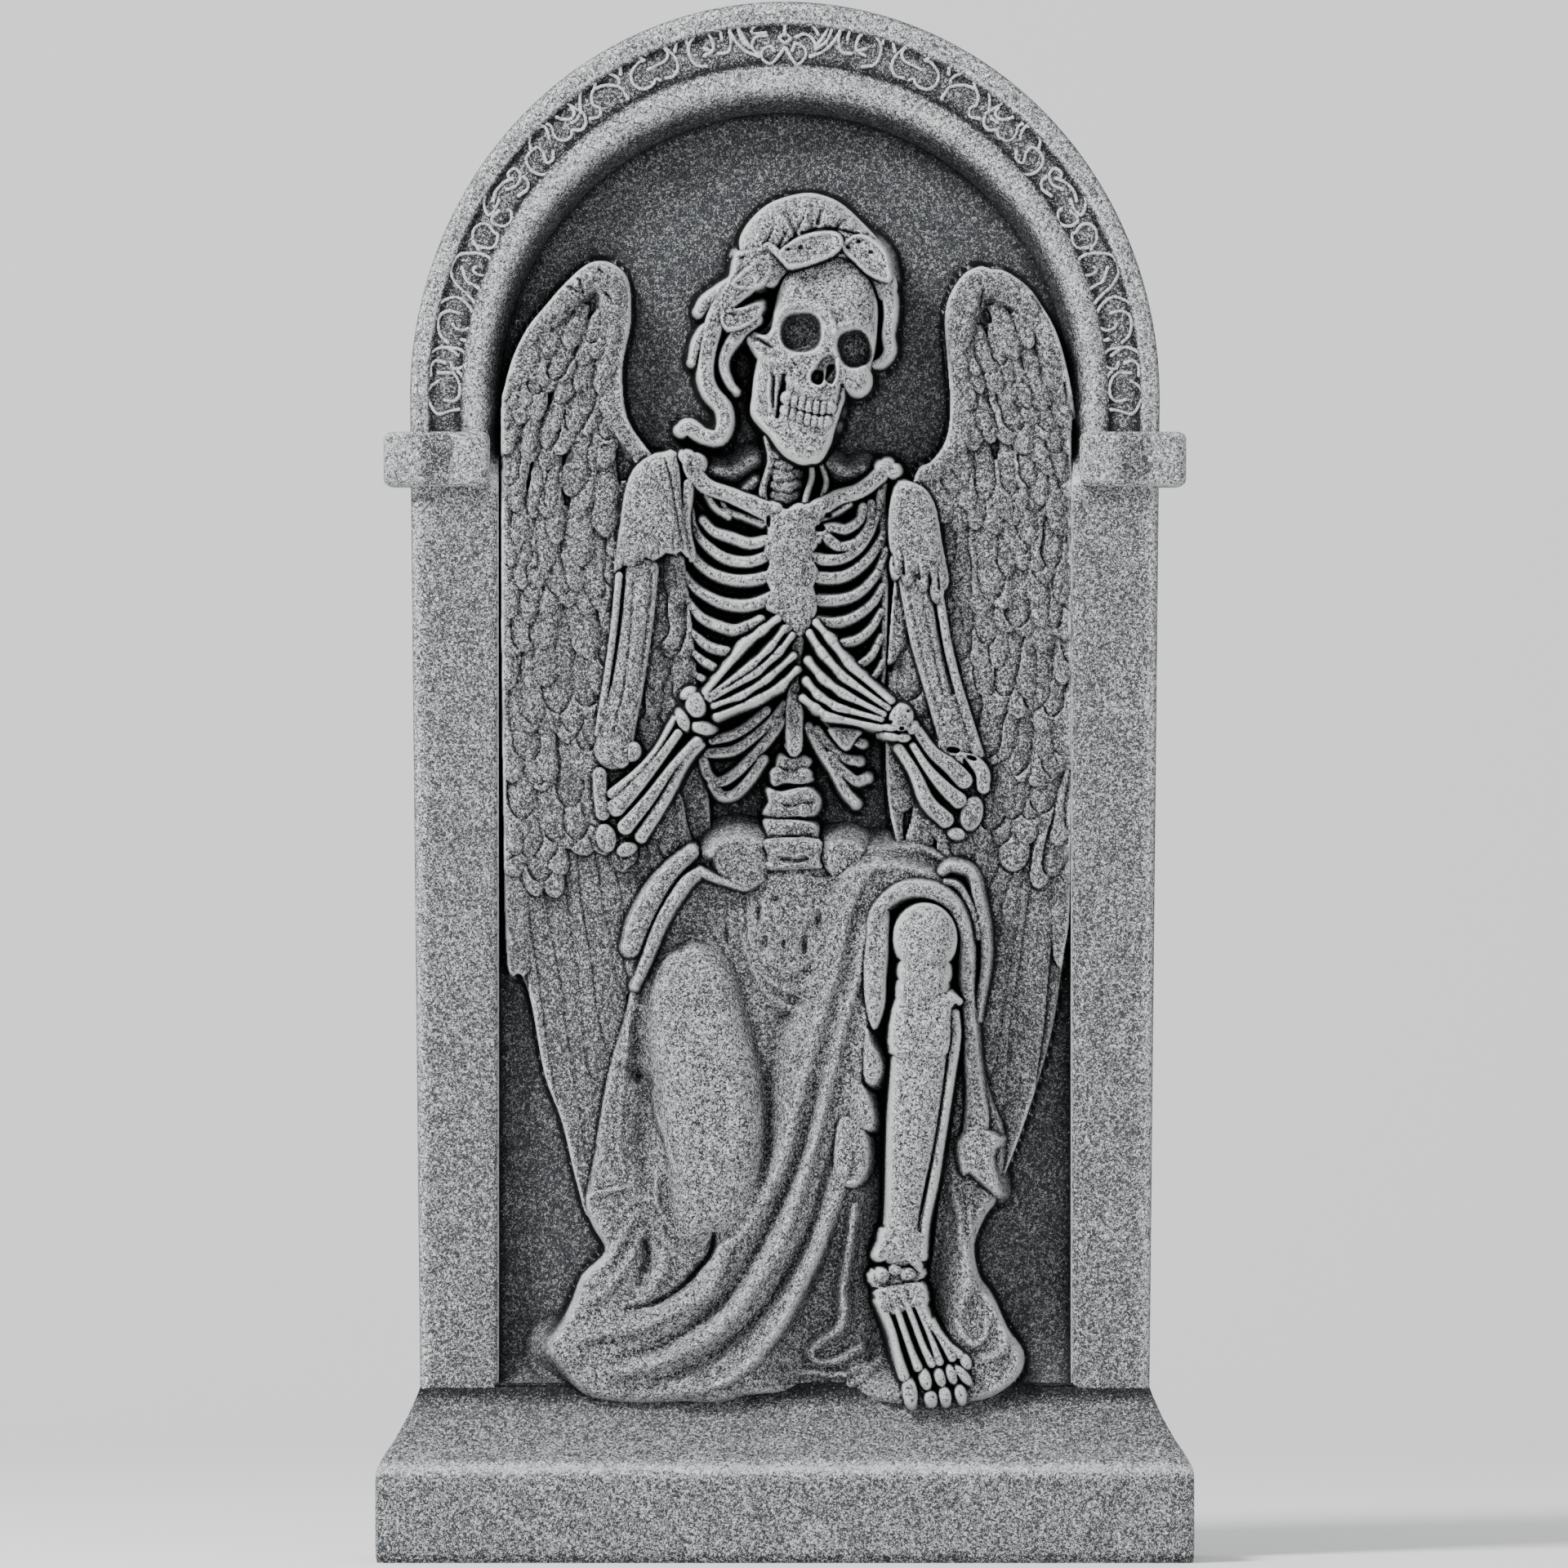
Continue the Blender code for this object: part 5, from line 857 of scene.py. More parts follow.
# The head: hair and leaves round a skull that leans and turns to the right
head = dict(
    cap=[(906, 313), (908, 289), (924, 265), (948, 247), (986, 237), (1014, 242), (1035, 254), (1057, 275),
         (1078, 298), (1090, 324), (1098, 350), (1090, 372), (1076, 366), (1060, 344), (1010, 326),
         (964, 336), (948, 352), (924, 348), (908, 336)],
    brainCase=[(952, 366), (960, 338), (982, 318), (1018, 311), (1048, 320), (1066, 342), (1074, 368),
               (1075, 396),
               (1072, 424), (1067, 452), (1058, 472), (1038, 478), (1010, 484), (976, 470), (944, 456),
               (926, 438), (912, 410), (932, 404), (944, 392)],
    jaw=[(932, 440), (970, 448), (1012, 470), (1033, 472), (1033, 486), (1030, 498), (1021, 527),
         (1014, 547),
         (1005, 564), (992, 568), (976, 567), (958, 556), (941, 533), (921, 509), (922, 485), (925, 457)],
    leaves=[[(960, 308), (981, 294), (1009, 288), (1026, 291), (1029, 303), (1010, 317), (972, 328),
             (960, 322), (955, 314)],
            [(1033, 303), (1054, 291), (1080, 308), (1087, 330), (1087, 345), (1066, 337), (1049, 322)],
            [(936, 317), (944, 330), (934, 348), (915, 354), (898, 350), (914, 333)],
            [(887, 384), (910, 380), (932, 373), (924, 392), (898, 405), (886, 398)]],
    twig=[(905, 313, 112, 2.6), (931, 307, 126, 3), (942, 303, 132, 4), (955, 315, 140, 3.4)],
    tresses=[[(933, 322, 124, 11), (916, 344, 120, 14), (896, 362, 114, 14), (880, 384, 108, 12),
              (872, 408, 104, 10), (866, 436, 100, 9), (864, 462, 98, 9), (871, 482, 96, 9.5),
              (885, 500, 94, 9.5), (888, 520, 92, 9), (880, 536, 90, 8.5), (862, 535, 88, 8),
              (844, 524, 86, 9), (834, 528, 82, 7)],
             [(908, 316, 108, 8), (902, 344, 106, 9), (884, 358, 100, 9), (866, 370, 94, 8),
              (857, 382, 90, 6)],
             [(884, 392, 98, 7), (866, 402, 94, 6), (854, 420, 90, 5.5), (848, 444, 86, 4)],
             [(924, 392, 102, 9), (902, 412, 98, 8), (888, 434, 94, 6), (886, 452, 92, 5),
              (893, 470, 90, 4), (901, 480, 88, 3)],
             [(1078, 342, 116, 8), (1088, 362, 112, 8), (1090, 386, 108, 7), (1087, 410, 104, 6.5),
              (1089, 430, 100, 6), (1081, 443, 98, 5), (1070, 447, 96, 3.5)]],
    upperTeeth=[(964.5, 489.5), (972.5, 493), (981.5, 496.5), (990.5, 499), (999.5, 501), (1008, 501.5),
                (1015.5, 500.5)],
    lowerTeeth=[(962.5, 504), (970.5, 508.5), (979.5, 512.5), (988.5, 515.5), (997, 518), (1005, 519),
                (1012, 518)],
)


def hairAndLeaves():
    layer = newLayer()
    plate(layer, head["cap"], lambda x, y: 108 + 14 * smooth((y - 236) / 60), 26, 32, slope=26)
    # strands that fan back from the forehead over the cap
    for n in range(16):
        angle = np.radians(-38 + 8.4 * n)
        root = np.array([992 + 26 * np.sin(angle), 318 - 16 * np.cos(angle)])
        end = np.array([996 + 100 * np.sin(angle), 336 - 102 * np.cos(angle)])
        middle = 0.5 * (root + end) + 6 * np.array([np.cos(angle), np.sin(angle)]) * np.sin(1.9 * n)
        deep = -3.6 + 1.4 * np.sin(2.7 * n)
        fold(layer, [(*root, 1.3 * deep, 2.0), (*middle, deep, 2.6), (*end, 0.3 * deep, 1.6)])
    for x0, y0, x1, y1 in ((937, 302, 949, 277), (953, 305, 964, 284), (968, 300, 984, 268),
                           (1002, 276, 1005, 262)):
        fold(layer, [(x0, y0, -8, 2.4), (x1, y1, -4, 1.6)])
    fold(layer, [(981, 287, -8, 1.5), (1009, 281, -9, 1.8), (1044, 287, -8, 1.8), (1066, 298, -5, 1.4)])
    fold(layer, [(1042, 270, 4, 2), (1046, 282, 4, 2), (1070, 296, 4, 2.2), (1088, 322, 4, 2.2)])
    return layer


def tressesAndWreath():
    layer = newLayer()
    for tress in head["tresses"]:
        rod(layer, tress, roundness=0.8, slope=14)
        path = np.asarray(tress, float)
        for side in (-0.45, 0.05, 0.5):  # combed grooves along each tress
            lane = path.copy()
            step = np.gradient(path[:, :2], axis=0)
            step /= np.hypot(*step.T)[:, None] + 1e-9
            lane[:, 0] += -step[:, 1] * side * path[:, 3]
            lane[:, 1] += step[:, 0] * side * path[:, 3]
            lane[:, 2] = -2.6
            lane[:, 3] = 1.2
            fold(layer, lane)
    for n, leaf in enumerate(head["leaves"]):
        top = (144, 136, 124, 110)[n]
        plate(layer, leaf, top - 4, 3, 3, slope=9)
        rim = bend(leaf, 3, closed=True)[:, :2]
        rim = np.vstack([rim, rim[:1]])
        rod(layer, np.column_stack([rim, np.full(len(rim), top), np.full(len(rim), 1.7)]), slope=9, pieces=1)
        ends = np.asarray(leaf, float)
        vein = [ends[0], ends.mean(axis=0), ends[len(ends) // 2]]
        fold(layer, [(x, y, -2.4, 1.1) for x, y in vein])
    for x, y in ((964, 307), (980, 305), (1051, 298), (1066, 311), (1038, 304)):
        pit(layer, x, y, 3.6, 2.8, 7)
    rod(layer, head["twig"], slope=9)
    return layer


def skull():
    layer = newLayer()

    def lie(x, y):  # the face's own axes: across it and down it, from between the eyes; it leans to the right
        return (x - 1008) * 0.97 + (y - 425) * 0.24, (y - 425) * 0.97 - (x - 1008) * 0.24

    def faceHeight(x, y):  # a barrel from cheek to cheek that draws back over the brow and at the jaw's sides
        across, down = lie(x, y)
        return (137 - 0.0058 * across ** 2 - 0.0022 * np.minimum(down + 18, 0) ** 2
                - 0.05 * np.maximum(np.abs(across) - 34, 0) ** 1.4 * (down > 20))

    plate(layer, head["brainCase"], lambda x, y: faceHeight(x, y), 16, 20, slope=22)
    plate(layer, head["jaw"], lambda x, y: faceHeight(x, y) - 2, 8, 11, slope=22)
    soften(layer, 1.6)
    # brow, cheek bones and jaw
    fold(layer, [(946, 396, 4, 5), (954, 384, 8, 6), (966, 376, 10, 6), (985, 373, 11, 6),
                 (1004, 379, 11, 6.5), (1018, 396, 10, 6), (1021, 412, 7, 5)])
    fold(layer, [(1024, 408, 7, 5), (1034, 400, 8, 5), (1048, 398, 8, 5), (1062, 404, 7, 5),
                 (1070, 416, 4, 4)])
    fold(layer, [(911, 408, 9, 3.4), (921, 426, 13, 4.4), (932, 438, 14, 6), (946, 444, 13, 6.5),
                 (960, 444, 9, 6), (974, 442, 6, 5)])
    fold(layer, [(948, 406, 5, 3.4), (940, 416, 8, 3.2), (931, 412, 6, 2.6), (918, 406, 4, 2.6)])
    knobAt(layer, 1048, 464, 18, 21, 133, 15, -16, 4, slope=22)
    fold(layer, [(925, 456, 6, 3.2), (923, 482, 7, 3.6), (922, 506, 7, 4), (936, 526, 7, 5),
                 (952, 544, 6, 6)])
    fold(layer, [(1031, 492, 6, 2.2), (1026, 512, 6, 2.2), (1018, 534, 5, 2.6)])
    fold(layer, [(962, 552, 4, 11), (980, 553, 9, 13), (998, 552, 6, 11)])
    fold(layer, [(942, 462, 7, 2.2), (941, 484, 8, 2.2), (943, 506, 6, 2.4)])
    fold(layer, [(962, 466, 8, 3), (976, 474, 7, 6), (996, 484, 6, 7), (1016, 488, 4, 6)])
    # sockets: deep bowls, square-shouldered, with a thin raised lip below
    for x, y, rx, ry, turn in ((981, 409, 26.5, 26, 0), (1046, 429, 21.5, 25, -18)):
        lip = np.radians(np.linspace(-10, 190, 17))
        c, s = np.cos(np.radians(turn)), np.sin(np.radians(turn))
        ex, ey = rx * np.cos(lip), ry * np.sin(lip)
        ends = np.sin(np.linspace(0, np.pi, 17)) ** 0.5
        fold(layer, np.column_stack([x + ex * c - ey * s, y + ex * s + ey * c, 3.6 * ends,
                                     np.full(17, 2.2)]), pieces=1)
        pit(layer, x, y, rx, ry, 46, turn, power=5, corners=2.5)
    pit(layer, 936, 396, 12, 17, 30, 14, power=4)
    fold(layer, [(928, 416, -8, 2), (937, 422, -13, 2.6), (945, 427, -9, 2.4)])
    # nose: a leaning pear with a thin wall down its middle
    for x, y, rx, ry, turn in ((1009, 454, 10.5, 22, 34), (1001, 464, 9.5, 10, 0), (1017, 460, 7.5, 14, 8)):
        pit(layer, x, y, rx, ry, 17, turn, power=5)
    fold(layer, [(1018, 434, 4, 1.6), (1025, 446, 5, 1.7), (1026, 460, 5, 1.7), (1020, 474, 6, 1.8),
                 (1011, 471, 4, 1.6), (1004, 476, 6, 1.8), (993, 470, 6, 1.8), (991, 461, 5, 1.7),
                 (999, 446, 4, 1.6)])
    fold(layer, [(1011, 455, 12, 1.5), (1009, 465, 15, 1.6), (1008, 474, 9, 1.6)])
    # the hollow between the jaw's branch and the teeth, and the crease down from the eye
    fold(layer, [(960, 462, -14, 3.2), (959, 474, -30, 4.2), (956, 492, -30, 3.8), (952, 512, -16, 2.6)])
    fold(layer, [(948, 464, -8, 2.0), (947, 482, -12, 2.2), (947, 500, -8, 1.8)])
    fold(layer, [(968, 440, -3, 1.2), (975, 450, -4, 1.3), (981, 462, -3, 1.2)])
    fold(layer, [(1031, 474, -14, 2.6), (1028, 488, -16, 2.6), (1024, 506, -10, 2.2), (1019, 522, -6, 2)])
    for crack in ([(1004, 356), (1010, 367), (1022, 370), (1034, 366), (1044, 374), (1050, 384),
                   (1060, 392)],
                  [(1022, 362), (1034, 362), (1044, 370), (1056, 378)], [(1010, 340), (1014, 350),
                   (1012, 360)]):
        fold(layer, [(x, y, -2.6, 0.9) for x, y in crack])
    # teeth, one knob each, parted by grooves
    fold(layer, [(955, 492, -8, 2.0), (970, 499, -9, 2.0), (990, 506, -9, 2.0), (1018, 510, -8, 2.0)])
    for row, tall in ((head["upperTeeth"], 7.2), (head["lowerTeeth"], 6.2)):
        rod(layer, [(x, y, 140.5 - 0.004 * (x - 992) ** 2, tall) for x, y in row], roundness=0.45, slope=8)
        for x, y in row:
            knobAt(layer, x, y, 4.6, tall * 1.1, 142.5 - 0.004 * (x - 992) ** 2, 3.5, 14, slope=8)
        for (xa, ya), (xb, yb) in zip(row[:-1], row[1:]):
            x, y = 0.5 * (xa + xb), 0.5 * (ya + yb)
            fold(layer, [(x + 1, y - tall, -5, 0.9), (x - 1, y + tall, -6, 0.9)])
    return layer


# From the sheet to metres
unitX = stone["nicheWidth"] / 700
unitZ = (stone["nicheTop"] - stone["plinthHeight"]) / 1563
unitY = stone["reliefDepth"] / 156


def toStone(x, y, height):  # a point of the sheet and its height as a place on the stone, in metres
    return np.stack([(x - sheet["middle"]) * unitX, stone["panelY"] - height * unitY,
                     stone["plinthHeight"] + (sheet["foot"] - y) * unitZ], axis=-1)


def sample(field, x, y):  # bilinear reading of a map of the sheet at any points
    u = np.clip(x - cols[0], 0, len(cols) - 1.001)
    v = np.clip(y - rows[0], 0, len(rows) - 1.001)
    i, j = u.astype(int), v.astype(int)
    u, v = u - i, v - j
    return ((field[j, i] * (1 - u) + field[j, i + 1] * u) * (1 - v)
            + (field[j + 1, i] * (1 - u) + field[j + 1, i + 1] * u) * v)


def addPiece(name, points, faces, paint=None, closeEnds=True):
    # a mesh object from arrays; its open borders are filled, so that it is a closed shell
    mesh = bpy.data.meshes.new(name)
    mesh.from_pydata(points.tolist(), [], faces.tolist())
    for key, values in (paint or {}).items():
        mesh.attributes.new(key, "FLOAT", "POINT").data.foreach_set("value", values.ravel().astype(np.float32))
    bm = bmesh.new()
    bm.from_mesh(mesh)
    bmesh.ops.remove_doubles(bm, verts=bm.verts, dist=1e-6)
    if closeEnds:
        bmesh.ops.holes_fill(bm, edges=[e for e in bm.edges if e.is_boundary], sides=0)
    bmesh.ops.recalc_face_normals(bm, faces=bm.faces)
    bm.to_mesh(mesh)
    bm.free()
    mesh.shade_smooth()
    piece = bpy.data.objects.new(name, mesh)
    bpy.context.scene.collection.objects.link(piece)
    mesh.materials.append(paintedFoam)
    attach(piece, "root")
    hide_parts("tombstone")
    print(name, len(mesh.vertices), "points,", sum(len(p.vertices) - 2 for p in mesh.polygons), "triangles")
    return piece


def gridFaces(down, across, wrap=False):  # quads of a grid of points, wrapping round where it is a ring
    j, i = np.meshgrid(np.arange(down - 1), np.arange(across if wrap else across - 1), indexing="ij")
    right = (i + 1) % across
    return np.stack([j * across + i, j * across + right, (j + 1) * across + right, (j + 1) * across + i],
                    axis=-1).reshape(-1, 4)


def spreadPoints(surface, spacing, passes=36):
    # a grid of sheet points pulled towards steep ground: each inner point moves to the mean of its four
    # neighbours, weighted by the surface's length for each unit of the sheet
    x0, x1, y0, y1 = surface["box"]
    x, y = np.meshgrid(np.linspace(x0, x1, int((x1 - x0) / spacing) + 1),
                       np.linspace(y0, y1, int((y1 - y0) / spacing) + 1))
    slopeY, slopeX = np.gradient(surface["height"])
    pull = blur(np.minimum(np.sqrt(1 + slopeX ** 2 + slopeY ** 2), 4.0), 1.2)
    for _ in range(passes):
        w = sample(pull, x, y)
        left, right = w[1:-1, :-2] + w[1:-1, 1:-1], w[1:-1, 2:] + w[1:-1, 1:-1]
        up, down = w[:-2, 1:-1] + w[1:-1, 1:-1], w[2:, 1:-1] + w[1:-1, 1:-1]
        total = left + right + up + down
        for c in (x, y):
            c[1:-1, 1:-1] = (left * c[1:-1, :-2] + right * c[1:-1, 2:] + up * c[:-2, 1:-1]
                             + down * c[2:, 1:-1]) / total
    return x, y


def reliefPiece(name, layer, whole, paint, spacing):
    # the part of a layer that shows, or lies just under its neighbours, as a shell whose border is
    # sunk behind the niche's back
    hidden = blur(((whole - layer) > 16).astype(float), 2.5) > 0.96
    height = blur(np.where(hidden, sheet["floor"], layer), 0.75)
    solid = height > sheet["floor"] + 1.5
    j, i = np.nonzero(solid)
    box = (max(cols[i.min()] - 3, cols[0]), min(cols[i.max()] + 3, cols[-1]),
           max(rows[j.min()] - 3, rows[0]), min(rows[j.max()] + 3, rows[-1]))
    x, y = spreadPoints(dict(height=height, box=box), spacing)
    down, across = x.shape
    h = np.maximum(sample(height, x, y), sheet["floor"])
    faces = gridFaces(down, across)
    faces = faces[(h.ravel()[faces] > sheet["floor"] + 1.0).any(axis=1)]
    used, faces = np.unique(faces, return_inverse=True)
    faces = faces.reshape(-1, 4)
    points = toStone(x, y, h).reshape(-1, 3)[used]
    # paint and painted shade come from the whole relief, so a piece darkens where its neighbours rise over it
    values = {key: sample(field, x, y).ravel()[used] for key, field in paint.items()}
    return addPiece(name, points, faces, values)


def paintAndShadeMaps(whole):
    # what the paint and the painted shade and light follow: edge is how far a point stands out of the ground
    # within about a millimetre, swell within a few millimetres, and proud its height above the panel. Low edge
    # and swell give wash and painted shade in the hollows and at the feet of raised forms; high ones and proud
    # give dry brush and painted light on what stands out
    height = np.maximum(whole, 0)
    edge = height - blur(height, 2.2)
    swell = height - blur(blur(height, 6), 3)
    return dict(edge=np.clip(edge / 6, -1, 1), swell=np.clip(swell / 38, -1, 1),
                proud=np.clip(blur(height, 3) / 120, 0, 1.2))


# The slab's front: shares of the way from its outer edge to the niche, with the depth behind the face
# there, over the arch and on the pilasters. The arch has a recessed band, a roll and a cove.
moulding = dict(
    share=[0.0, 0.0, 0.012, 0.03, 0.06, 0.10, 0.19, 0.215, 0.24, 0.55, 0.575, 0.60, 0.66, 0.72, 0.78, 0.84,
           0.89, 0.93, 0.965, 0.99, 1.0],
    arch=[0.030, 0.0062, 0.0030, 0.0014, 0.0004, 0.0, 0.0, 0.0022, 0.0032, 0.0032, 0.0022, 0.0004, -0.0012,
          -0.0019, -0.0012, 0.0016, 0.0066, 0.0130, 0.0205, 0.0275, 0.036],
    pilaster=[0.030, 0.0062, 0.0030, 0.0014, 0.0004, 0.0, 0.0, 0.0, 0.0, 0.0, 0.0, 0.0, 0.0, 0.0, 0.0, 0.0,
              0.0, 0.0003, 0.0014, 0.0042, 0.036],
    stations=420, acrossPoints=64,
)
impost = dict(width=0.0625, height=0.032, base=0.6295, proud=0.0085, rounding=0.0045, backGap=0.006,
              inset=0.0055)
plinth = dict(share=[0.035, 0.008, 0.0, 0.0, 0.006, 0.03, 0.13, 0.40, 0.72, 0.93, 1.04],
              rise=[0.0, 0.004, 0.010, 0.047, 0.052, 0.055, 0.0597, 0.0697, 0.0843, 0.0962, 0.1037],
              sideIn=0.02525, frontIn=0.055, rings=64, around=420)


def slabPath(share, t):
    # x and z of a line round the front at a share of the way in: up the left pilaster, over the arch
    # as half an ellipse, and down the right one; t runs from 0 to 1
    foot = stone["plinthEdge"] * 0.8
    half = stone["slabWidth"] / 2 + share * (stone["nicheWidth"] - stone["slabWidth"]) / 2
    halfFoot = stone["slabFootWidth"] / 2 + share * (stone["nicheWidth"] - stone["slabFootWidth"]) / 2
    rise = (stone["height"] - stone["springHeight"]) + share * (stone["nicheTop"] - stone["height"])
    leg = 0.32                                     # share of the path that each pilaster takes
    up = np.clip(np.minimum(t, 1 - t) / leg, 0, 1)
    angle = np.pi * (1 - np.clip((t - leg) / (1 - 2 * leg), 0, 1))
    straight = np.minimum(t, 1 - t) < leg
    z = np.where(straight, foot + up * (stone["springHeight"] - foot),
                 stone["springHeight"] + rise * np.sin(angle))
    lift = np.clip((z - stone["plinthHeight"]) / (stone["springHeight"] - stone["plinthHeight"]), 0, 1)
    x = np.where(straight, np.sign(t - 0.5) * (halfFoot + lift * (half - halfFoot)), half * np.cos(angle))
    return x, z


def unevenness(x, z, size, seed):  # a sum of slanted sine waves, the hand-rubbed waviness of moulded foam
    angles = np.random.RandomState(seed).rand(6, 3) * 2 * np.pi
    return sum(np.sin((x * np.cos(a) + z * np.sin(a)) * 2 * np.pi / (size * (0.6 + 0.25 * n)) + b
                      + np.sin(z * 40 + c)) for n, (a, b, c) in enumerate(angles)) / 6


def steleFront():
    # profile carried along the path: from a pole behind the niche out over the moulding, round the
    # outer edge and back to the middle of the flat back
    t = np.linspace(0, 1, moulding["stations"])[:, None]
    u = np.linspace(0, 1, moulding["acrossPoints"])
    share = np.array(moulding["share"])
    run = np.concatenate([[0], np.cumsum(np.hypot(np.diff(share) * 0.0525, np.diff(moulding["arch"])))])
    run /= run[-1]
    at = np.interp(u, run, share)[::-1][None, :]
    arch = np.interp(u, run, moulding["arch"])[::-1][None, :]
    flat = np.interp(u, run, moulding["pilaster"])[::-1][None, :]
    x, z = slabPath(at, t)
    overArch = smooth((z - impost["base"]) / impost["height"])
    depth = flat + (arch - flat) * overArch
    y = stone["faceY"] + depth + 0.00035 * unevenness(x, z, 0.05, 3) * (depth < 0.02)
    back = np.full_like(t, stone["slabBackY"])
    spineX = np.zeros_like(t)
    spineZ = np.minimum(z[:, -1:], stone["springHeight"])
    behind = np.full_like(t, stone["panelY"] + 0.006)
    xs = np.hstack([spineX, x[:, :1], x, x[:, -1:], x[:, -1:] * 0.97, spineX])
    ys = np.hstack([behind, behind, y, back - 0.003, back, back])
    zs = np.hstack([spineZ, z[:, :1], z, z[:, -1:], z[:, -1:] - 0.004 * overArch[:, -1:], spineZ])
    points = np.stack([xs, ys, zs], axis=-1)
    n = xs.shape[1]
    # paint and painted shade: wash and painted shade lie in the cove, the recessed band and the niche's jambs,
    # darker the deeper they sit; the dry brush and painted light on the roll and the edges
    edge = np.zeros((len(t), n))
    swell = np.zeros((len(t), n))
    bump = blur(depth, 1.6) - depth
    depth = np.where(at < 0.15, np.minimum(depth, 0.003), depth)   # the outer sides are painted as the face
    edge[:, 2:-3] = np.clip(bump / 0.0012, -1, 1)
    swell[:, 2:-3] = np.clip(0.25 - depth / 0.012, -0.42, 0.3)
    proud = np.full((len(t), n), 0.38)
    proud[:, 2:-3] = np.clip(0.38 - 0.5 * depth / 0.03, 0.05, 1)
    addPiece("slab", points.reshape(-1, 3), gridFaces(len(t), n),
             dict(edge=edge, swell=swell, proud=proud))


def nicheBack(paint):
    # the flat panel, its cove at the foot and the start of the ledge: a profile carried across the
    # niche, as wide at each height as the arch leaves it, and closed by a back of its own
    foot = stone["plinthHeight"] + stone["ledgeCove"]
    rise = stone["nicheTop"] - stone["springHeight"] + 0.004
    crown = np.pi / 2 * (1 - np.linspace(0, 1, 84) ** 1.3)
    lines = np.concatenate([stone["springHeight"] + rise * np.sin(crown),
                            np.linspace(stone["springHeight"], foot, 180)[1:]])
    t = np.linspace(0, 1, 26)[1:]
    z = np.concatenate([lines, stone["plinthHeight"] + stone["ledgeCove"] * (1 - t) ** 2])[:, None]
    y = np.concatenate([np.full(len(lines), stone["panelY"]), stone["panelY"] - 0.030 * t])[:, None]
    half = (stone["nicheWidth"] / 2 + 0.004) * np.sqrt(
        np.clip(1 - (np.maximum(z - stone["springHeight"], 0) / rise) ** 2, 0, 1))
    x = half * np.linspace(-1, 1, 170)[None, :]
    z, y = z + 0 * x, y + 0 * x
    sheetX, sheetY = x / unitX + sheet["middle"], sheet["foot"] - (z - stone["plinthHeight"]) / unitZ
    y = y + 0.0004 * unevenness(x, z, 0.03, 9)
    # paint and painted shade from the relief's maps: the panel darkens round the figure as wash and as painted
    # shade
    values = {}
    for key, field in paint.items():
        inside = (sheetX > cols[0]) & (sheetX < cols[-1]) & (sheetY > rows[0])
        values[key] = np.where(inside, sample(field, sheetX, sheetY), 0)
    # painted shade along the niche's border, where its walls and arch cast shadow: the swell value is lowered
    # there
    fromSide = (stone["nicheWidth"] / 2 - np.abs(x)) / unitX
    arch = np.hypot(x / (stone["nicheWidth"] / 2), np.maximum(z - stone["springHeight"], 0)
                    / (stone["nicheTop"] - stone["springHeight"]))
    fromArch = np.where(z > stone["springHeight"], (1 - arch) * 330, fromSide)
    border = np.exp(-np.maximum(np.minimum(fromSide, fromArch), 0) / 8.0)
    values["swell"] = np.clip(values["swell"] - 0.8 * border, -1, 1)
    front = np.stack([x, y, z], axis=-1)
    back = np.stack([x, np.maximum(y, stone["panelY"]) + 0.012, z], axis=-1)
    few = np.linspace(x.shape[1] - 1, 0, 9).astype(int)       # the back is flat and needs few points
    around = np.concatenate([front, back[:, few]], axis=1)
    values = {key: np.concatenate([field, field[:, few]], axis=1) for key, field in values.items()}
    addPiece("niche_panel", around.reshape(-1, 3), gridFaces(*around.shape[:2], wrap=True), values)


def roundedRing(halfX, frontY, backY, corner, count):
    # a rectangle whose front corners are arcs, as points evenly spaced along its length
    arc = np.linspace(0, np.pi / 2, 9)
    left = np.stack([-halfX + corner - corner * np.cos(arc), frontY + corner - corner * np.sin(arc)], axis=-1)
    right = np.stack([halfX - corner + corner * np.sin(arc), frontY + corner - corner * np.cos(arc)], axis=-1)
    outline = np.vstack([[[-halfX, backY]], left, right, [[halfX, backY]], [[-halfX, backY]]])
    run = np.concatenate([[0], np.cumsum(np.hypot(*np.diff(outline, axis=0).T))])
    at = np.linspace(0, run[-1], count, endpoint=False)
    return np.stack([np.interp(at, run, outline[:, 0]), np.interp(at, run, outline[:, 1])], axis=-1)


def plinthBlock():
    # rings from the ground up, each a share of the way in from the rim to the slab; poles close it
    share, rise = np.array(plinth["share"]), np.array(plinth["rise"])
    run = np.concatenate([[0], np.cumsum(np.hypot(np.diff(share) * plinth["frontIn"], np.diff(rise)))])
    at = np.linspace(0, run[-1], plinth["rings"])
    rings = []
    for s, z in zip(np.interp(at, run, share), np.interp(at, run, rise)):
        ring = roundedRing(stone["plinthWidth"] / 2 - s * plinth["sideIn"],
                           -stone["plinthDepth"] / 2 + s * plinth["frontIn"], stone["plinthDepth"] / 2,
                           stone["plinthCorner"], plinth["around"])
        rings.append(np.column_stack([ring, np.full(len(ring), z)]))
    points = np.array(rings)
    wave = 0.0005 * unevenness(points[..., 0], points[..., 2], 0.05, 5) * (points[..., 2] > 0.004)
    points[..., 1] += np.where(points[..., 1] < 0, np.abs(wave), 0)
    height = points[..., 2]
    # paint and painted shade: a dry-brushed line along the upright rim's top, the lowest 4 mm darker, and the
    # ledge darker towards the slab, as wash and as painted shade where the slab meets it
    edge = np.exp(-((height - stone["plinthEdge"]) / 0.0035) ** 2) * 0.7 - 0.25 * (height < 0.004)
    swell = 0.15 - 0.9 * smooth((height - 0.088) / 0.012)
    proud = 0.56 - 0.32 * smooth((height - 0.060) / 0.03)
    addPiece("plinth", points.reshape(-1, 3), gridFaces(*points.shape[:2], wrap=True),
             dict(edge=edge, swell=swell, proud=proud))


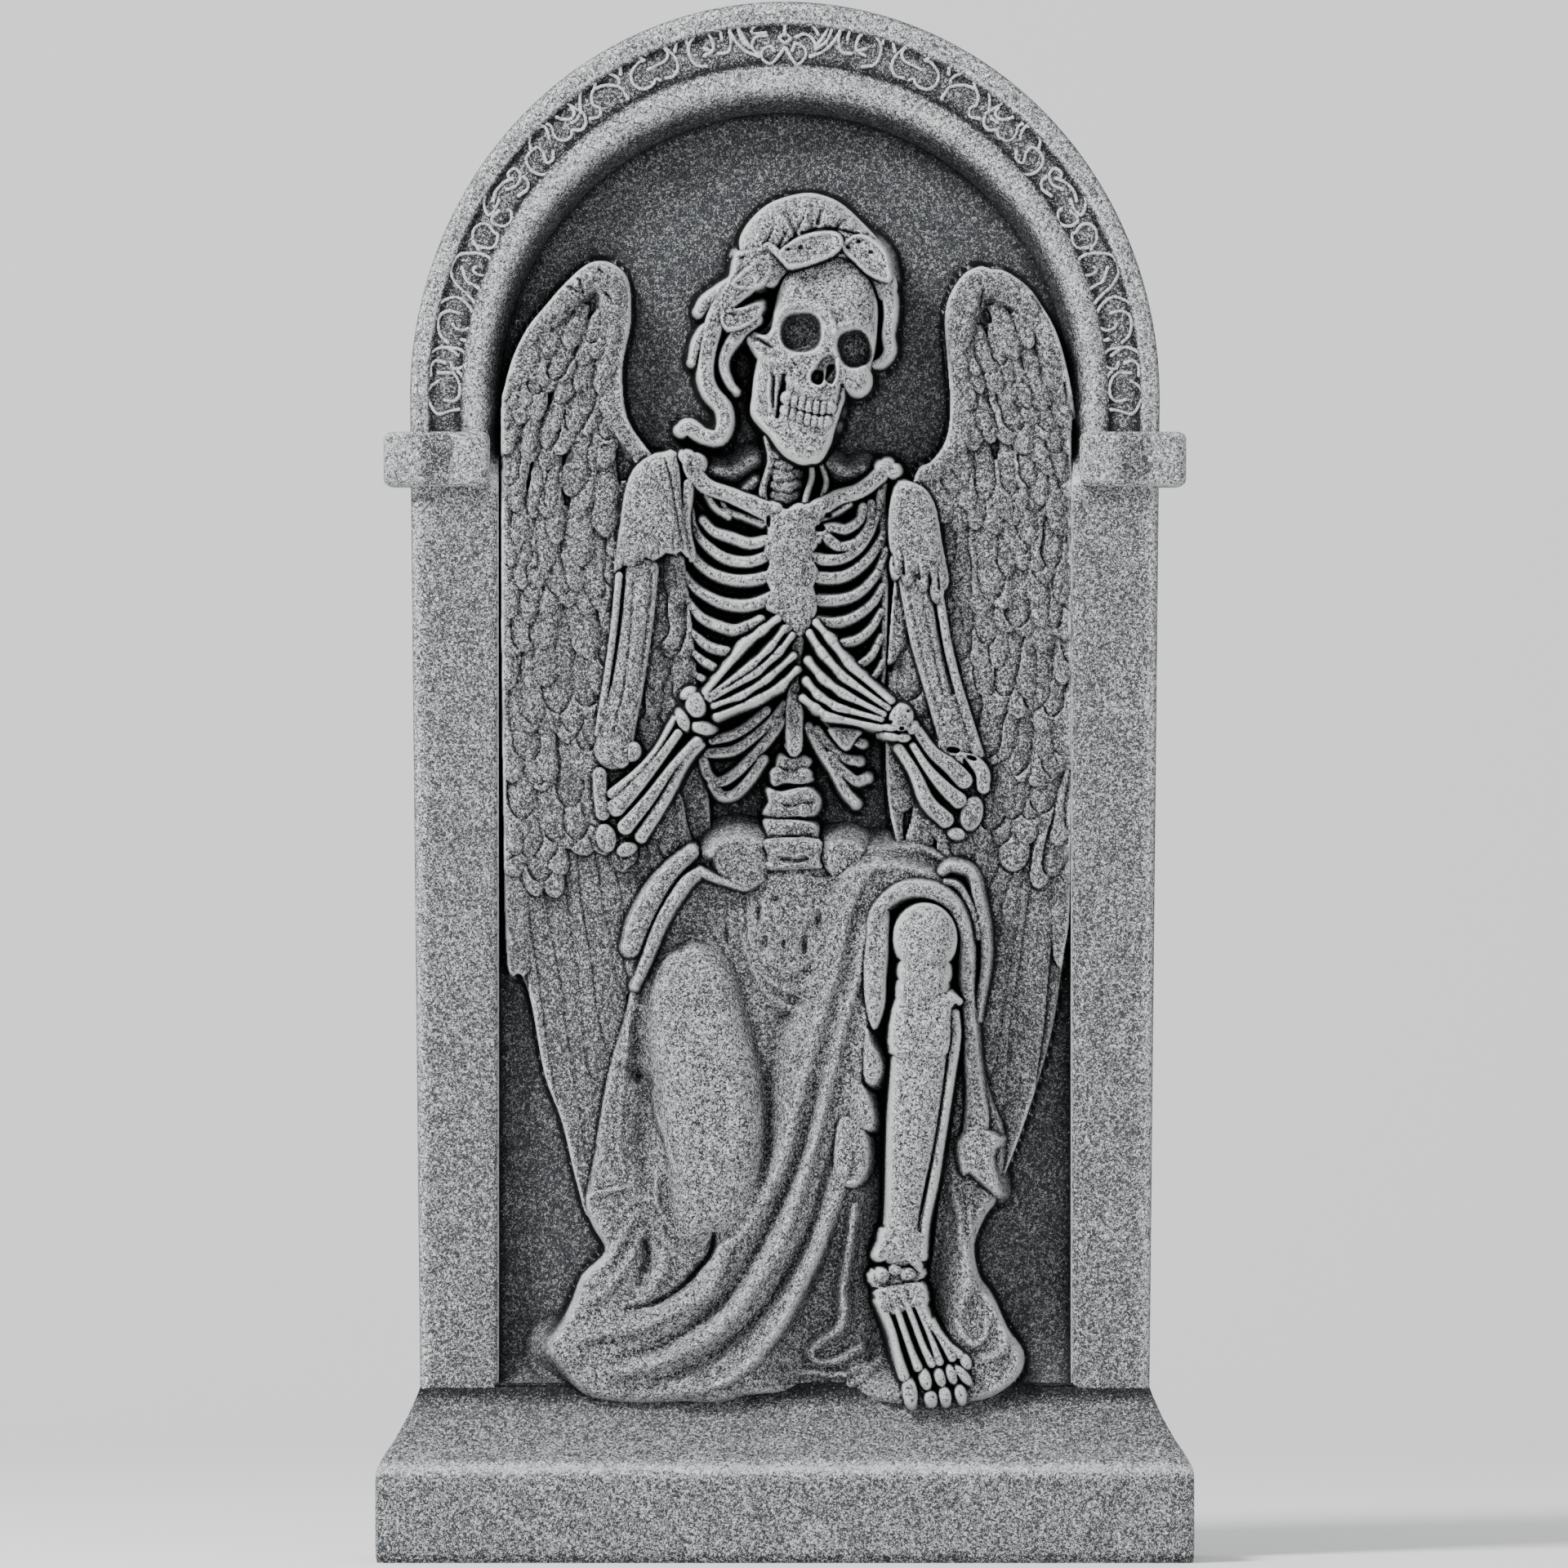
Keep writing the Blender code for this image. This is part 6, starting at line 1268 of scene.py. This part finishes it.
def imposts():
    # a block at each foot of the arch: a superellipse in plan, drawn in at its top and bottom rounding
    inner = stone["nicheWidth"] / 2 + impost["inset"]
    middle = np.array([inner + impost["width"] / 2, 0.5 * (stone["faceY"] - impost["proud"] + stone["slabBackY"]
                                                            - impost["backGap"])])
    half = np.array([impost["width"] / 2, 0.5 * (stone["slabBackY"] - impost["backGap"] - stone["faceY"]
                                                 + impost["proud"])])
    turn = np.linspace(0, 2 * np.pi, 160, endpoint=False)[None, :]
    v = np.linspace(0, 1, 44)[:, None]
    inset = impost["rounding"] * (1 - np.sqrt(1 - np.clip(1 - np.minimum(v, 1 - v) * impost["height"]
                                                          / impost["rounding"], 0, 1) ** 2))
    for side, name in ((-1, "impost_left"), (1, "impost_right")):
        c, s = np.cos(turn), np.sin(turn)
        reach = (np.abs(c) ** 12 + np.abs(s) ** 12) ** (-1 / 12)
        x = side * (middle[0] + (half[0] - inset) * reach * c)
        y = middle[1] + (half[1] - inset) * reach * s
        z = impost["base"] + v * impost["height"] + 0 * x
        y = y - 0.0003 * unevenness(x, z, 0.02, 11) * (y < stone["faceY"])
        corner = np.clip((reach - 1.02) / 0.04, 0, 1) + np.exp(-np.minimum(v, 1 - v) * 12)
        addPiece(name, np.stack([x, y, z], axis=-1).reshape(-1, 3), gridFaces(44, 160, wrap=True),
                 dict(edge=np.clip(corner, 0, 1) * 0.5 + 0 * x, swell=0.0 + 0 * x, proud=0.34 + 0 * x))


# Scrollwork in the arch's band, each stroke a wire on the sheet; the left side is mirrored to the right
scrolls = dict(
    wire=0.00092, endKnob=1.5,
    sides=[
        [(562, 502), (550, 504), (536, 508), (527, 497), (523, 485), (527, 474), (537, 467)],
        [(536, 457), (554, 458), (562, 470), (562, 485), (554, 492), (543, 490)],
        [(527, 461), (527, 449), (534, 442), (545, 445)],
        [(523, 438), (532, 429), (546, 426), (561, 436)],
        [(548, 426), (564, 429), (571, 438), (570, 447), (561, 452), (554, 451), (552, 444)],
        [(548, 420), (539, 411), (536, 397), (539, 386), (550, 381), (562, 384)],
        [(537, 372), (546, 367), (559, 364), (571, 372), (579, 385), (577, 399), (566, 405), (557, 402),
         (554, 397)],
        [(564, 416), (573, 419), (575, 428)],
        [(582, 372), (571, 360), (559, 349), (552, 335), (554, 322), (562, 312), (577, 310), (589, 311),
         (600, 317), (602, 328), (595, 337), (584, 336), (579, 331), (582, 327)],
        [(565, 327), (571, 344), (579, 349), (587, 354)],
        [(586, 306), (579, 294), (580, 281), (589, 274), (598, 276), (604, 284), (609, 288), (607, 299),
         (600, 304), (589, 303)],
        [(593, 240), (592, 250), (597, 263), (605, 258), (611, 244)],
        [(611, 258), (602, 267), (605, 274), (616, 277), (625, 272), (626, 261), (622, 256)],
        [(679, 208), (664, 214), (650, 208), (644, 195), (650, 185), (658, 180), (665, 187), (669, 199),
         (677, 195), (677, 185)],
        [(650, 183), (648, 171), (654, 159), (665, 154), (671, 163), (672, 170)],
        [(669, 151), (675, 155), (679, 167), (689, 172), (699, 167), (701, 159), (711, 159), (717, 151),
         (715, 140), (707, 134), (691, 125), (681, 126)],
        [(681, 143), (690, 146), (699, 145), (703, 138), (699, 131)],
        [(711, 138), (710, 118), (715, 102), (728, 95), (728, 106), (724, 116), (726, 128), (734, 132),
         (734, 142), (722, 145)],
        [(730, 93), (742, 89), (756, 95), (758, 102)],
        [(728, 108), (742, 104), (758, 106), (765, 114), (769, 121)],
        [(760, 91), (760, 79), (766, 67), (779, 66), (787, 73)],
        [(789, 73), (781, 77), (773, 89), (775, 102), (787, 109), (799, 104), (803, 96), (809, 98)],
        [(789, 67), (795, 57), (807, 55), (817, 63), (815, 73), (803, 80), (793, 85)],
        [(813, 57), (826, 69), (830, 83), (824, 93), (815, 95)],
        [(826, 63), (830, 47), (838, 44), (841, 53)],
        [(866, 81), (852, 79), (844, 67), (844, 53), (854, 40), (864, 39), (872, 49), (873, 61), (861, 59)],
        [(862, 68), (868, 65), (873, 61)],
        [(864, 36), (873, 30), (881, 36), (884, 49)],
        [(879, 65), (891, 63), (895, 51), (893, 34)],
        [(893, 38), (903, 53), (915, 63), (930, 69)],
        [(905, 22), (903, 32), (909, 49), (922, 59)],
        [(560, 455), (566, 462), (569, 476), (566, 492)],
        [(700, 150), (706, 146), (708, 142)],
        [(620, 232), (633, 226), (637, 214), (630, 206), (622, 212), (624, 220)],
        [(603, 247), (607, 234), (616, 224), (628, 218)],
        [(634, 240), (645, 232), (646, 222), (640, 216)],
    ],
    crown=[
        [(961, 19), (961, 42)], [(938, 40), (921, 40), (924, 30), (934, 25), (961, 25), (984, 26)],
        [(961, 58), (945, 77), (934, 72), (933, 62), (942, 56), (948, 62)],
        [(962, 58), (975, 78), (986, 69), (985, 58), (974, 53), (970, 62)],
        [(940, 43), (925, 45), (921, 58), (930, 66)], [(975, 45), (985, 41), (996, 48), (999, 60)],
        [(955, 16), (961, 13), (975, 11), (985, 18), (999, 36), (1002, 42)],
        [(918, 58), (905, 35), (903, 22), (912, 18)], [(1000, 55), (1012, 38), (1016, 22), (1010, 20)],
        [(954, 46), (961, 52), (968, 46), (961, 41), (954, 46)],
    ],
)


def wireTube(path, radius):
    # a ring of eight points carried along the path at its own radius, with a rounded pole at each end
    path, radius = np.asarray(path, float), np.asarray(radius, float)
    ahead = np.gradient(path, axis=0)
    ahead /= np.linalg.norm(ahead, axis=1)[:, None]
    outward = np.array([0.0, -1.0, 0.0]) - ahead * (-ahead[:, 1:2])
    outward /= np.linalg.norm(outward, axis=1)[:, None]
    across = np.cross(ahead, outward)
    turn = np.linspace(0, 2 * np.pi, 8, endpoint=False)
    offset = (np.cos(turn)[None, :, None] * across[:, None, :]
              + np.sin(turn)[None, :, None] * outward[:, None, :])
    rings = path[:, None, :] + offset * radius[:, None, None]
    first = path[:1, None, :] - ahead[:1, None, :] * radius[0] + 0 * rings[:1]
    last = path[-1:, None, :] + ahead[-1:, None, :] * radius[-1] + 0 * rings[-1:]
    return np.vstack([first, rings, last])


def scrollwork():
    points, faces, count = [], [], 0
    wire = scrolls["wire"]
    left = [np.array(s, float) for s in scrolls["sides"]]
    right = [s * [-1, 1] + [2 * sheet["middle"], 0] for s in left]
    bandY = stone["faceY"] + 0.0032
    for stroke in left + right + [np.array(s, float) for s in scrolls["crown"]]:
        p = bend(stroke, 5) if len(stroke) > 2 else np.linspace(stroke[0], stroke[1], 6)
        u = np.linspace(0, 1, len(p))
        radius = wire * (0.86 + 0.22 * np.sin(np.pi * u) ** 0.5 + 0.08 * np.sin(9 * u + stroke[0, 0]))
        radius *= 1 + (scrolls["endKnob"] - 1) * np.exp(-np.minimum(u, 1 - u) * len(p) / 1.6)
        place = toStone(p[:, 0], p[:, 1], np.zeros(len(p)))
        place[:, 1] = bandY - 0.35 * radius
        tube = wireTube(place, radius)
        faces.append(gridFaces(*tube.shape[:2], wrap=True) + count)
        points.append(tube.reshape(-1, 3))
        count += len(points[-1])
    points = np.vstack(points)
    # the wire's top is pale as dry brush and painted light, its foot dark as wash and painted shade where it
    # meets the band
    raised = np.clip((bandY - points[:, 1]) / (2 * wire), 0, 1)
    addPiece("scrollwork", points, np.vstack(faces),
             dict(edge=raised * 1.1 - 0.15, swell=raised * 0.6, proud=0.8 + 0 * raised), closeEnds=False)


def srgb(code):  # a hex colour as the linear values that the shader works in
    parts = [int(code[n:n + 2], 16) / 255 for n in (1, 3, 5)]
    return tuple(c / 12.92 if c <= 0.04045 else ((c + 0.055) / 1.055) ** 2.4 for c in parts) + (1.0,)


def node(tree, kind, links=None, **settings):
    # adds a node; settings are its own properties or its inputs' values, links name the sockets it reads
    made = tree.nodes.new(kind)
    for key, value in settings.items():
        if hasattr(made, key):
            setattr(made, key, value)
        else:
            name = int(key[5:]) if key.startswith("input") else key.replace("_", " ")
            made.inputs[name].default_value = value
    for socket, source in (links or {}).items():
        tree.links.new(source, made.inputs[socket])
    return made


# Moulded rigid polyurethane foam with a water-based paint: a dark stone grey base coat, a near-black
# wash that stays in the hollows, and a pale grey dragged over what stands out with a dry brush. It
# gives a chalky, mottled grey that is light on edges and dark in the carving. The same near-black is also
# painted shade, in hollows, at the feet of raised forms and along the niche's walls, and the same pale
# grey is also painted light on what stands proud of the panel.
foamPaint = dict(
    baseCoat="#434548",
    washAndShade="#0f1011",
    dryBrushAndLight="#e2e4e5",
    stippleSize=0.0008,     # metres between the brush's dabs
    dabSize=0.0026,         # and between its coarser ones
    moundSize=0.022,        # metres across the uneven patches of the paint
    poreSize=0.0042,        # metres between pinholes in the foam's skin
    flakeSize=0.0035,       # metres between the pale specks
    dabBlend=0.26,          # share of the coarser dabs in the fine ones
    # pale coat and painted light that a place takes: for its height, swell, edge, dabs and patches, and less a
    # base
    paleAndLitHeight=0.48, paleAndLitSwell=0.62, paleEdge=0.95, paleDab=0.64, palePatch=0.30,
    paleBase=-0.22, paleLess=0.15,
    # wash and painted shade that stay: for a hollow, a crack and a gap between dabs, and less a base
    washAndShadeHollow=-1.25, washAndShadeCrack=-1.9, washDab=-0.55, washLess=0.02,
    roughness=0.88,
)


def makePaintedFoam():
    material = bpy.data.materials.new("painted_foam_moulded")
    material.use_nodes = True
    tree = material.node_tree
    tree.nodes.clear()
    place = node(tree, "ShaderNodeTexCoord").outputs["Object"]
    edge = node(tree, "ShaderNodeAttribute", attribute_name="edge").outputs["Fac"]
    swell = node(tree, "ShaderNodeAttribute", attribute_name="swell").outputs["Fac"]
    proud = node(tree, "ShaderNodeAttribute", attribute_name="proud").outputs["Fac"]
    # dabs of the brush: a fine wormy noise, and the same a little coarser
    stipple = node(tree, "ShaderNodeTexNoise", {"Vector": place}, Scale=0.62 / foamPaint["stippleSize"],
                   Detail=2.0, Roughness=0.6, Distortion=1.4).outputs["Fac"]
    coarse = node(tree, "ShaderNodeTexNoise", {"Vector": place}, Scale=0.62 / foamPaint["dabSize"], Detail=2.0,
                  Roughness=0.5, Distortion=1.8).outputs["Fac"]
    patches = node(tree, "ShaderNodeTexNoise", {"Vector": place}, Scale=1 / foamPaint["moundSize"], Detail=3.0,
                   Roughness=0.55).outputs["Fac"]
    pores = node(tree, "ShaderNodeTexVoronoi", {"Vector": place}, Scale=1 / foamPaint["poreSize"],
                 Randomness=1.0).outputs["Distance"]
    flakes = node(tree, "ShaderNodeTexVoronoi", {"Vector": place}, Scale=1 / foamPaint["flakeSize"],
                  Randomness=1.0).outputs["Distance"]

    def addTimes(value, weight, plus=None, **also):  # value times weight, added to another socket
        links = {0: value} if plus is None else {0: value, 2: plus}
        return node(tree, "ShaderNodeMath", links, operation="MULTIPLY_ADD", input1=weight, **also).outputs[0]

    def less(value, amount):  # value less an amount, kept between 0 and 1
        return node(tree, "ShaderNodeMath", {0: value}, operation="SUBTRACT", input1=amount, use_clamp=True)

    mixed = addTimes(coarse, foamPaint["dabBlend"], stipple)
    dabs = node(tree, "ShaderNodeMapRange", {"Value": mixed}, From_Min=0.52, From_Max=0.74, To_Min=-1.0,
                To_Max=1.0).outputs["Result"]
    # how much of the pale coat and painted light a place takes: what is proud, what swells, its edges, and the
    # dabs
    byHeight = addTimes(proud, foamPaint["paleAndLitHeight"], input2=foamPaint["paleBase"])
    bySwell = addTimes(swell, foamPaint["paleAndLitSwell"], byHeight)
    byEdge = addTimes(edge, foamPaint["paleEdge"], bySwell)
    byDab = addTimes(dabs, foamPaint["paleDab"], byEdge)
    pale = less(addTimes(patches, foamPaint["palePatch"], byDab), foamPaint["paleLess"])
    # and how much wash and painted shade stay: in hollows, wide or narrow, and at the feet of raised forms,
    # broken by the dabs
    hollow = node(tree, "ShaderNodeMath", {0: swell}, operation="MULTIPLY", input1=foamPaint["washAndShadeHollow"])
    crack = addTimes(edge, foamPaint["washAndShadeCrack"], hollow.outputs[0])
    dark = less(addTimes(dabs, foamPaint["washDab"], crack), foamPaint["washLess"])
    coat = node(tree, "ShaderNodeMix", {"Factor": pale.outputs[0]}, data_type="RGBA",
                input6=srgb(foamPaint["baseCoat"]), input7=srgb(foamPaint["dryBrushAndLight"]))
    washedAndShaded = node(tree, "ShaderNodeMix", {"Factor": dark.outputs[0], 6: coat.outputs[2]}, data_type="RGBA",
                  input7=srgb(foamPaint["washAndShade"]))
    hole = node(tree, "ShaderNodeMapRange", {"Value": pores}, From_Min=0.09, From_Max=0.16, To_Min=0.8,
                To_Max=0.0)
    holed = node(tree, "ShaderNodeMix", {"Factor": hole.outputs[0], 6: washedAndShaded.outputs[2]}, data_type="RGBA",
                 input7=srgb(foamPaint["washAndShade"]))
    speck = node(tree, "ShaderNodeMapRange", {"Value": flakes}, From_Min=0.07, From_Max=0.12, To_Min=0.6,
                 To_Max=0.0)
    flecked = node(tree, "ShaderNodeMix", {"Factor": speck.outputs[0], 6: holed.outputs[2]}, data_type="RGBA",
                   input7=srgb(foamPaint["dryBrushAndLight"]))
    grain = node(tree, "ShaderNodeMath", {0: hole.outputs[0], 2: dabs}, operation="MULTIPLY_ADD", input1=-2.0)
    bump = node(tree, "ShaderNodeBump", {"Height": grain.outputs[0]}, Strength=0.8, Distance=0.0003)
    shader = node(tree, "ShaderNodeBsdfPrincipled",
                  {"Base Color": flecked.outputs[2], "Normal": bump.outputs[0]},
                  Roughness=foamPaint["roughness"], Specular_IOR_Level=0.25)
    node(tree, "ShaderNodeOutputMaterial", {"Surface": shader.outputs[0]})
    return material


# Studio: a plain pale floor that runs up behind, a soft lamp high at the left and a weak fill
studio = dict(
    cameraAway=12.0, cameraHeight=0.4549, focal=469.4, sensor=36.0,
    floorColour="#f6f6f5",
    keyPower=185.0, keyPlace=(-1.7, -1.7, 3.0), keySize=0.8,
    fillPower=10.0, fillPlace=(2.2, -2.6, 1.0), fillSize=2.4,
    skyStrength=0.78,
)


def makeFloor():
    # a sweep: flat in front, then a quarter circle up into an upright wall far behind the stone
    across = np.linspace(-8, 8, 9)[None, :]
    bendAngle = np.linspace(0, np.pi / 2, 17)
    depth = np.concatenate([np.linspace(-13.5, 2.0, 8), 2.0 + 1.5 * np.sin(bendAngle[1:]), [3.5]])[:, None]
    height = np.concatenate([np.zeros(8), 1.5 - 1.5 * np.cos(bendAngle[1:]), [7.0]])[:, None]
    points = np.stack([across + 0 * depth, depth + 0 * across, height + 0 * across], axis=-1)
    mesh = bpy.data.meshes.new("studio_floor")
    mesh.from_pydata(points.reshape(-1, 3).tolist(), [], gridFaces(*points.shape[:2]).tolist())
    mesh.shade_smooth()
    floor = bpy.data.objects.new("studio_floor", mesh)
    bpy.context.scene.collection.objects.link(floor)
    material = bpy.data.materials.new("studio_paper_matt")
    material.use_nodes = True
    shader = material.node_tree.nodes["Principled BSDF"]
    shader.inputs["Base Color"].default_value = srgb(studio["floorColour"])
    shader.inputs["Roughness"].default_value = 0.95
    mesh.materials.append(material)


def makeLamp(name, place, power, size):
    lamp = bpy.data.lights.new(name, "AREA")
    lamp.energy, lamp.size = power, size
    holder = bpy.data.objects.new(name, lamp)
    holder.location = place
    holder.rotation_euler = (Vector((0, 0, 0.45)) - Vector(place)).to_track_quat("-Z", "Y").to_euler()
    bpy.context.scene.collection.objects.link(holder)


def makeCamera():
    # far away with a long lens, as the photograph shows the stone, square on
    lens = bpy.data.cameras.new("camera")
    lens.lens, lens.sensor_width = studio["focal"], studio["sensor"]
    lens.clip_end = 60
    holder = bpy.data.objects.new("camera", lens)
    holder.location = (-0.0005, -studio["cameraAway"], studio["cameraHeight"])
    holder.rotation_euler = (np.pi / 2, 0, 0)
    bpy.context.scene.collection.objects.link(holder)
    bpy.context.scene.camera = holder


def makeSky():
    world = bpy.data.worlds.new("soft_daylight")
    bpy.context.scene.world = world
    world.use_nodes = True
    world.node_tree.nodes["Background"].inputs["Color"].default_value = srgb("#f4f6f8")
    world.node_tree.nodes["Background"].inputs["Strength"].default_value = studio["skyStrength"]


makeCamera()
makeSky()
makeFloor()
makeLamp("key_lamp", studio["keyPlace"], studio["keyPower"], studio["keySize"])
makeLamp("fill_lamp", studio["fillPlace"], studio["fillPower"], studio["fillSize"])
paintedFoam = makePaintedFoam()
print("studio and paint ready")

layers = dict(
    left_wing=wing(leftWing),
    right_wing=wing(rightWing),
    rib_cage=ribCage(),
    robe=hangingCloth(),
    hips_and_spine=hipsAndSpine(),
    leg_and_foot=legAndFoot(),
    arms_and_hands=armsAndHands(),
    shoulder_cloth=shoulderCloth(),
    hair=hairAndLeaves(),
    tresses_and_wreath=tressesAndWreath(),
    skull=skull(),
)
print("relief drawn")
wholeRelief = np.maximum.reduce(list(layers.values()))
paint = paintAndShadeMaps(wholeRelief)
spacings = dict(left_wing=2.0, right_wing=2.0, rib_cage=1.45, robe=2.05, hips_and_spine=1.6, leg_and_foot=1.6,
                arms_and_hands=1.5, shoulder_cloth=1.7, hair=1.7, tresses_and_wreath=1.5, skull=1.3)
for name, layer in layers.items():
    reliefPiece(name, layer, wholeRelief, paint, spacings[name])
print("figure done")

steleFront()
nicheBack(paint)
plinthBlock()
imposts()
scrollwork()
print("stone done")
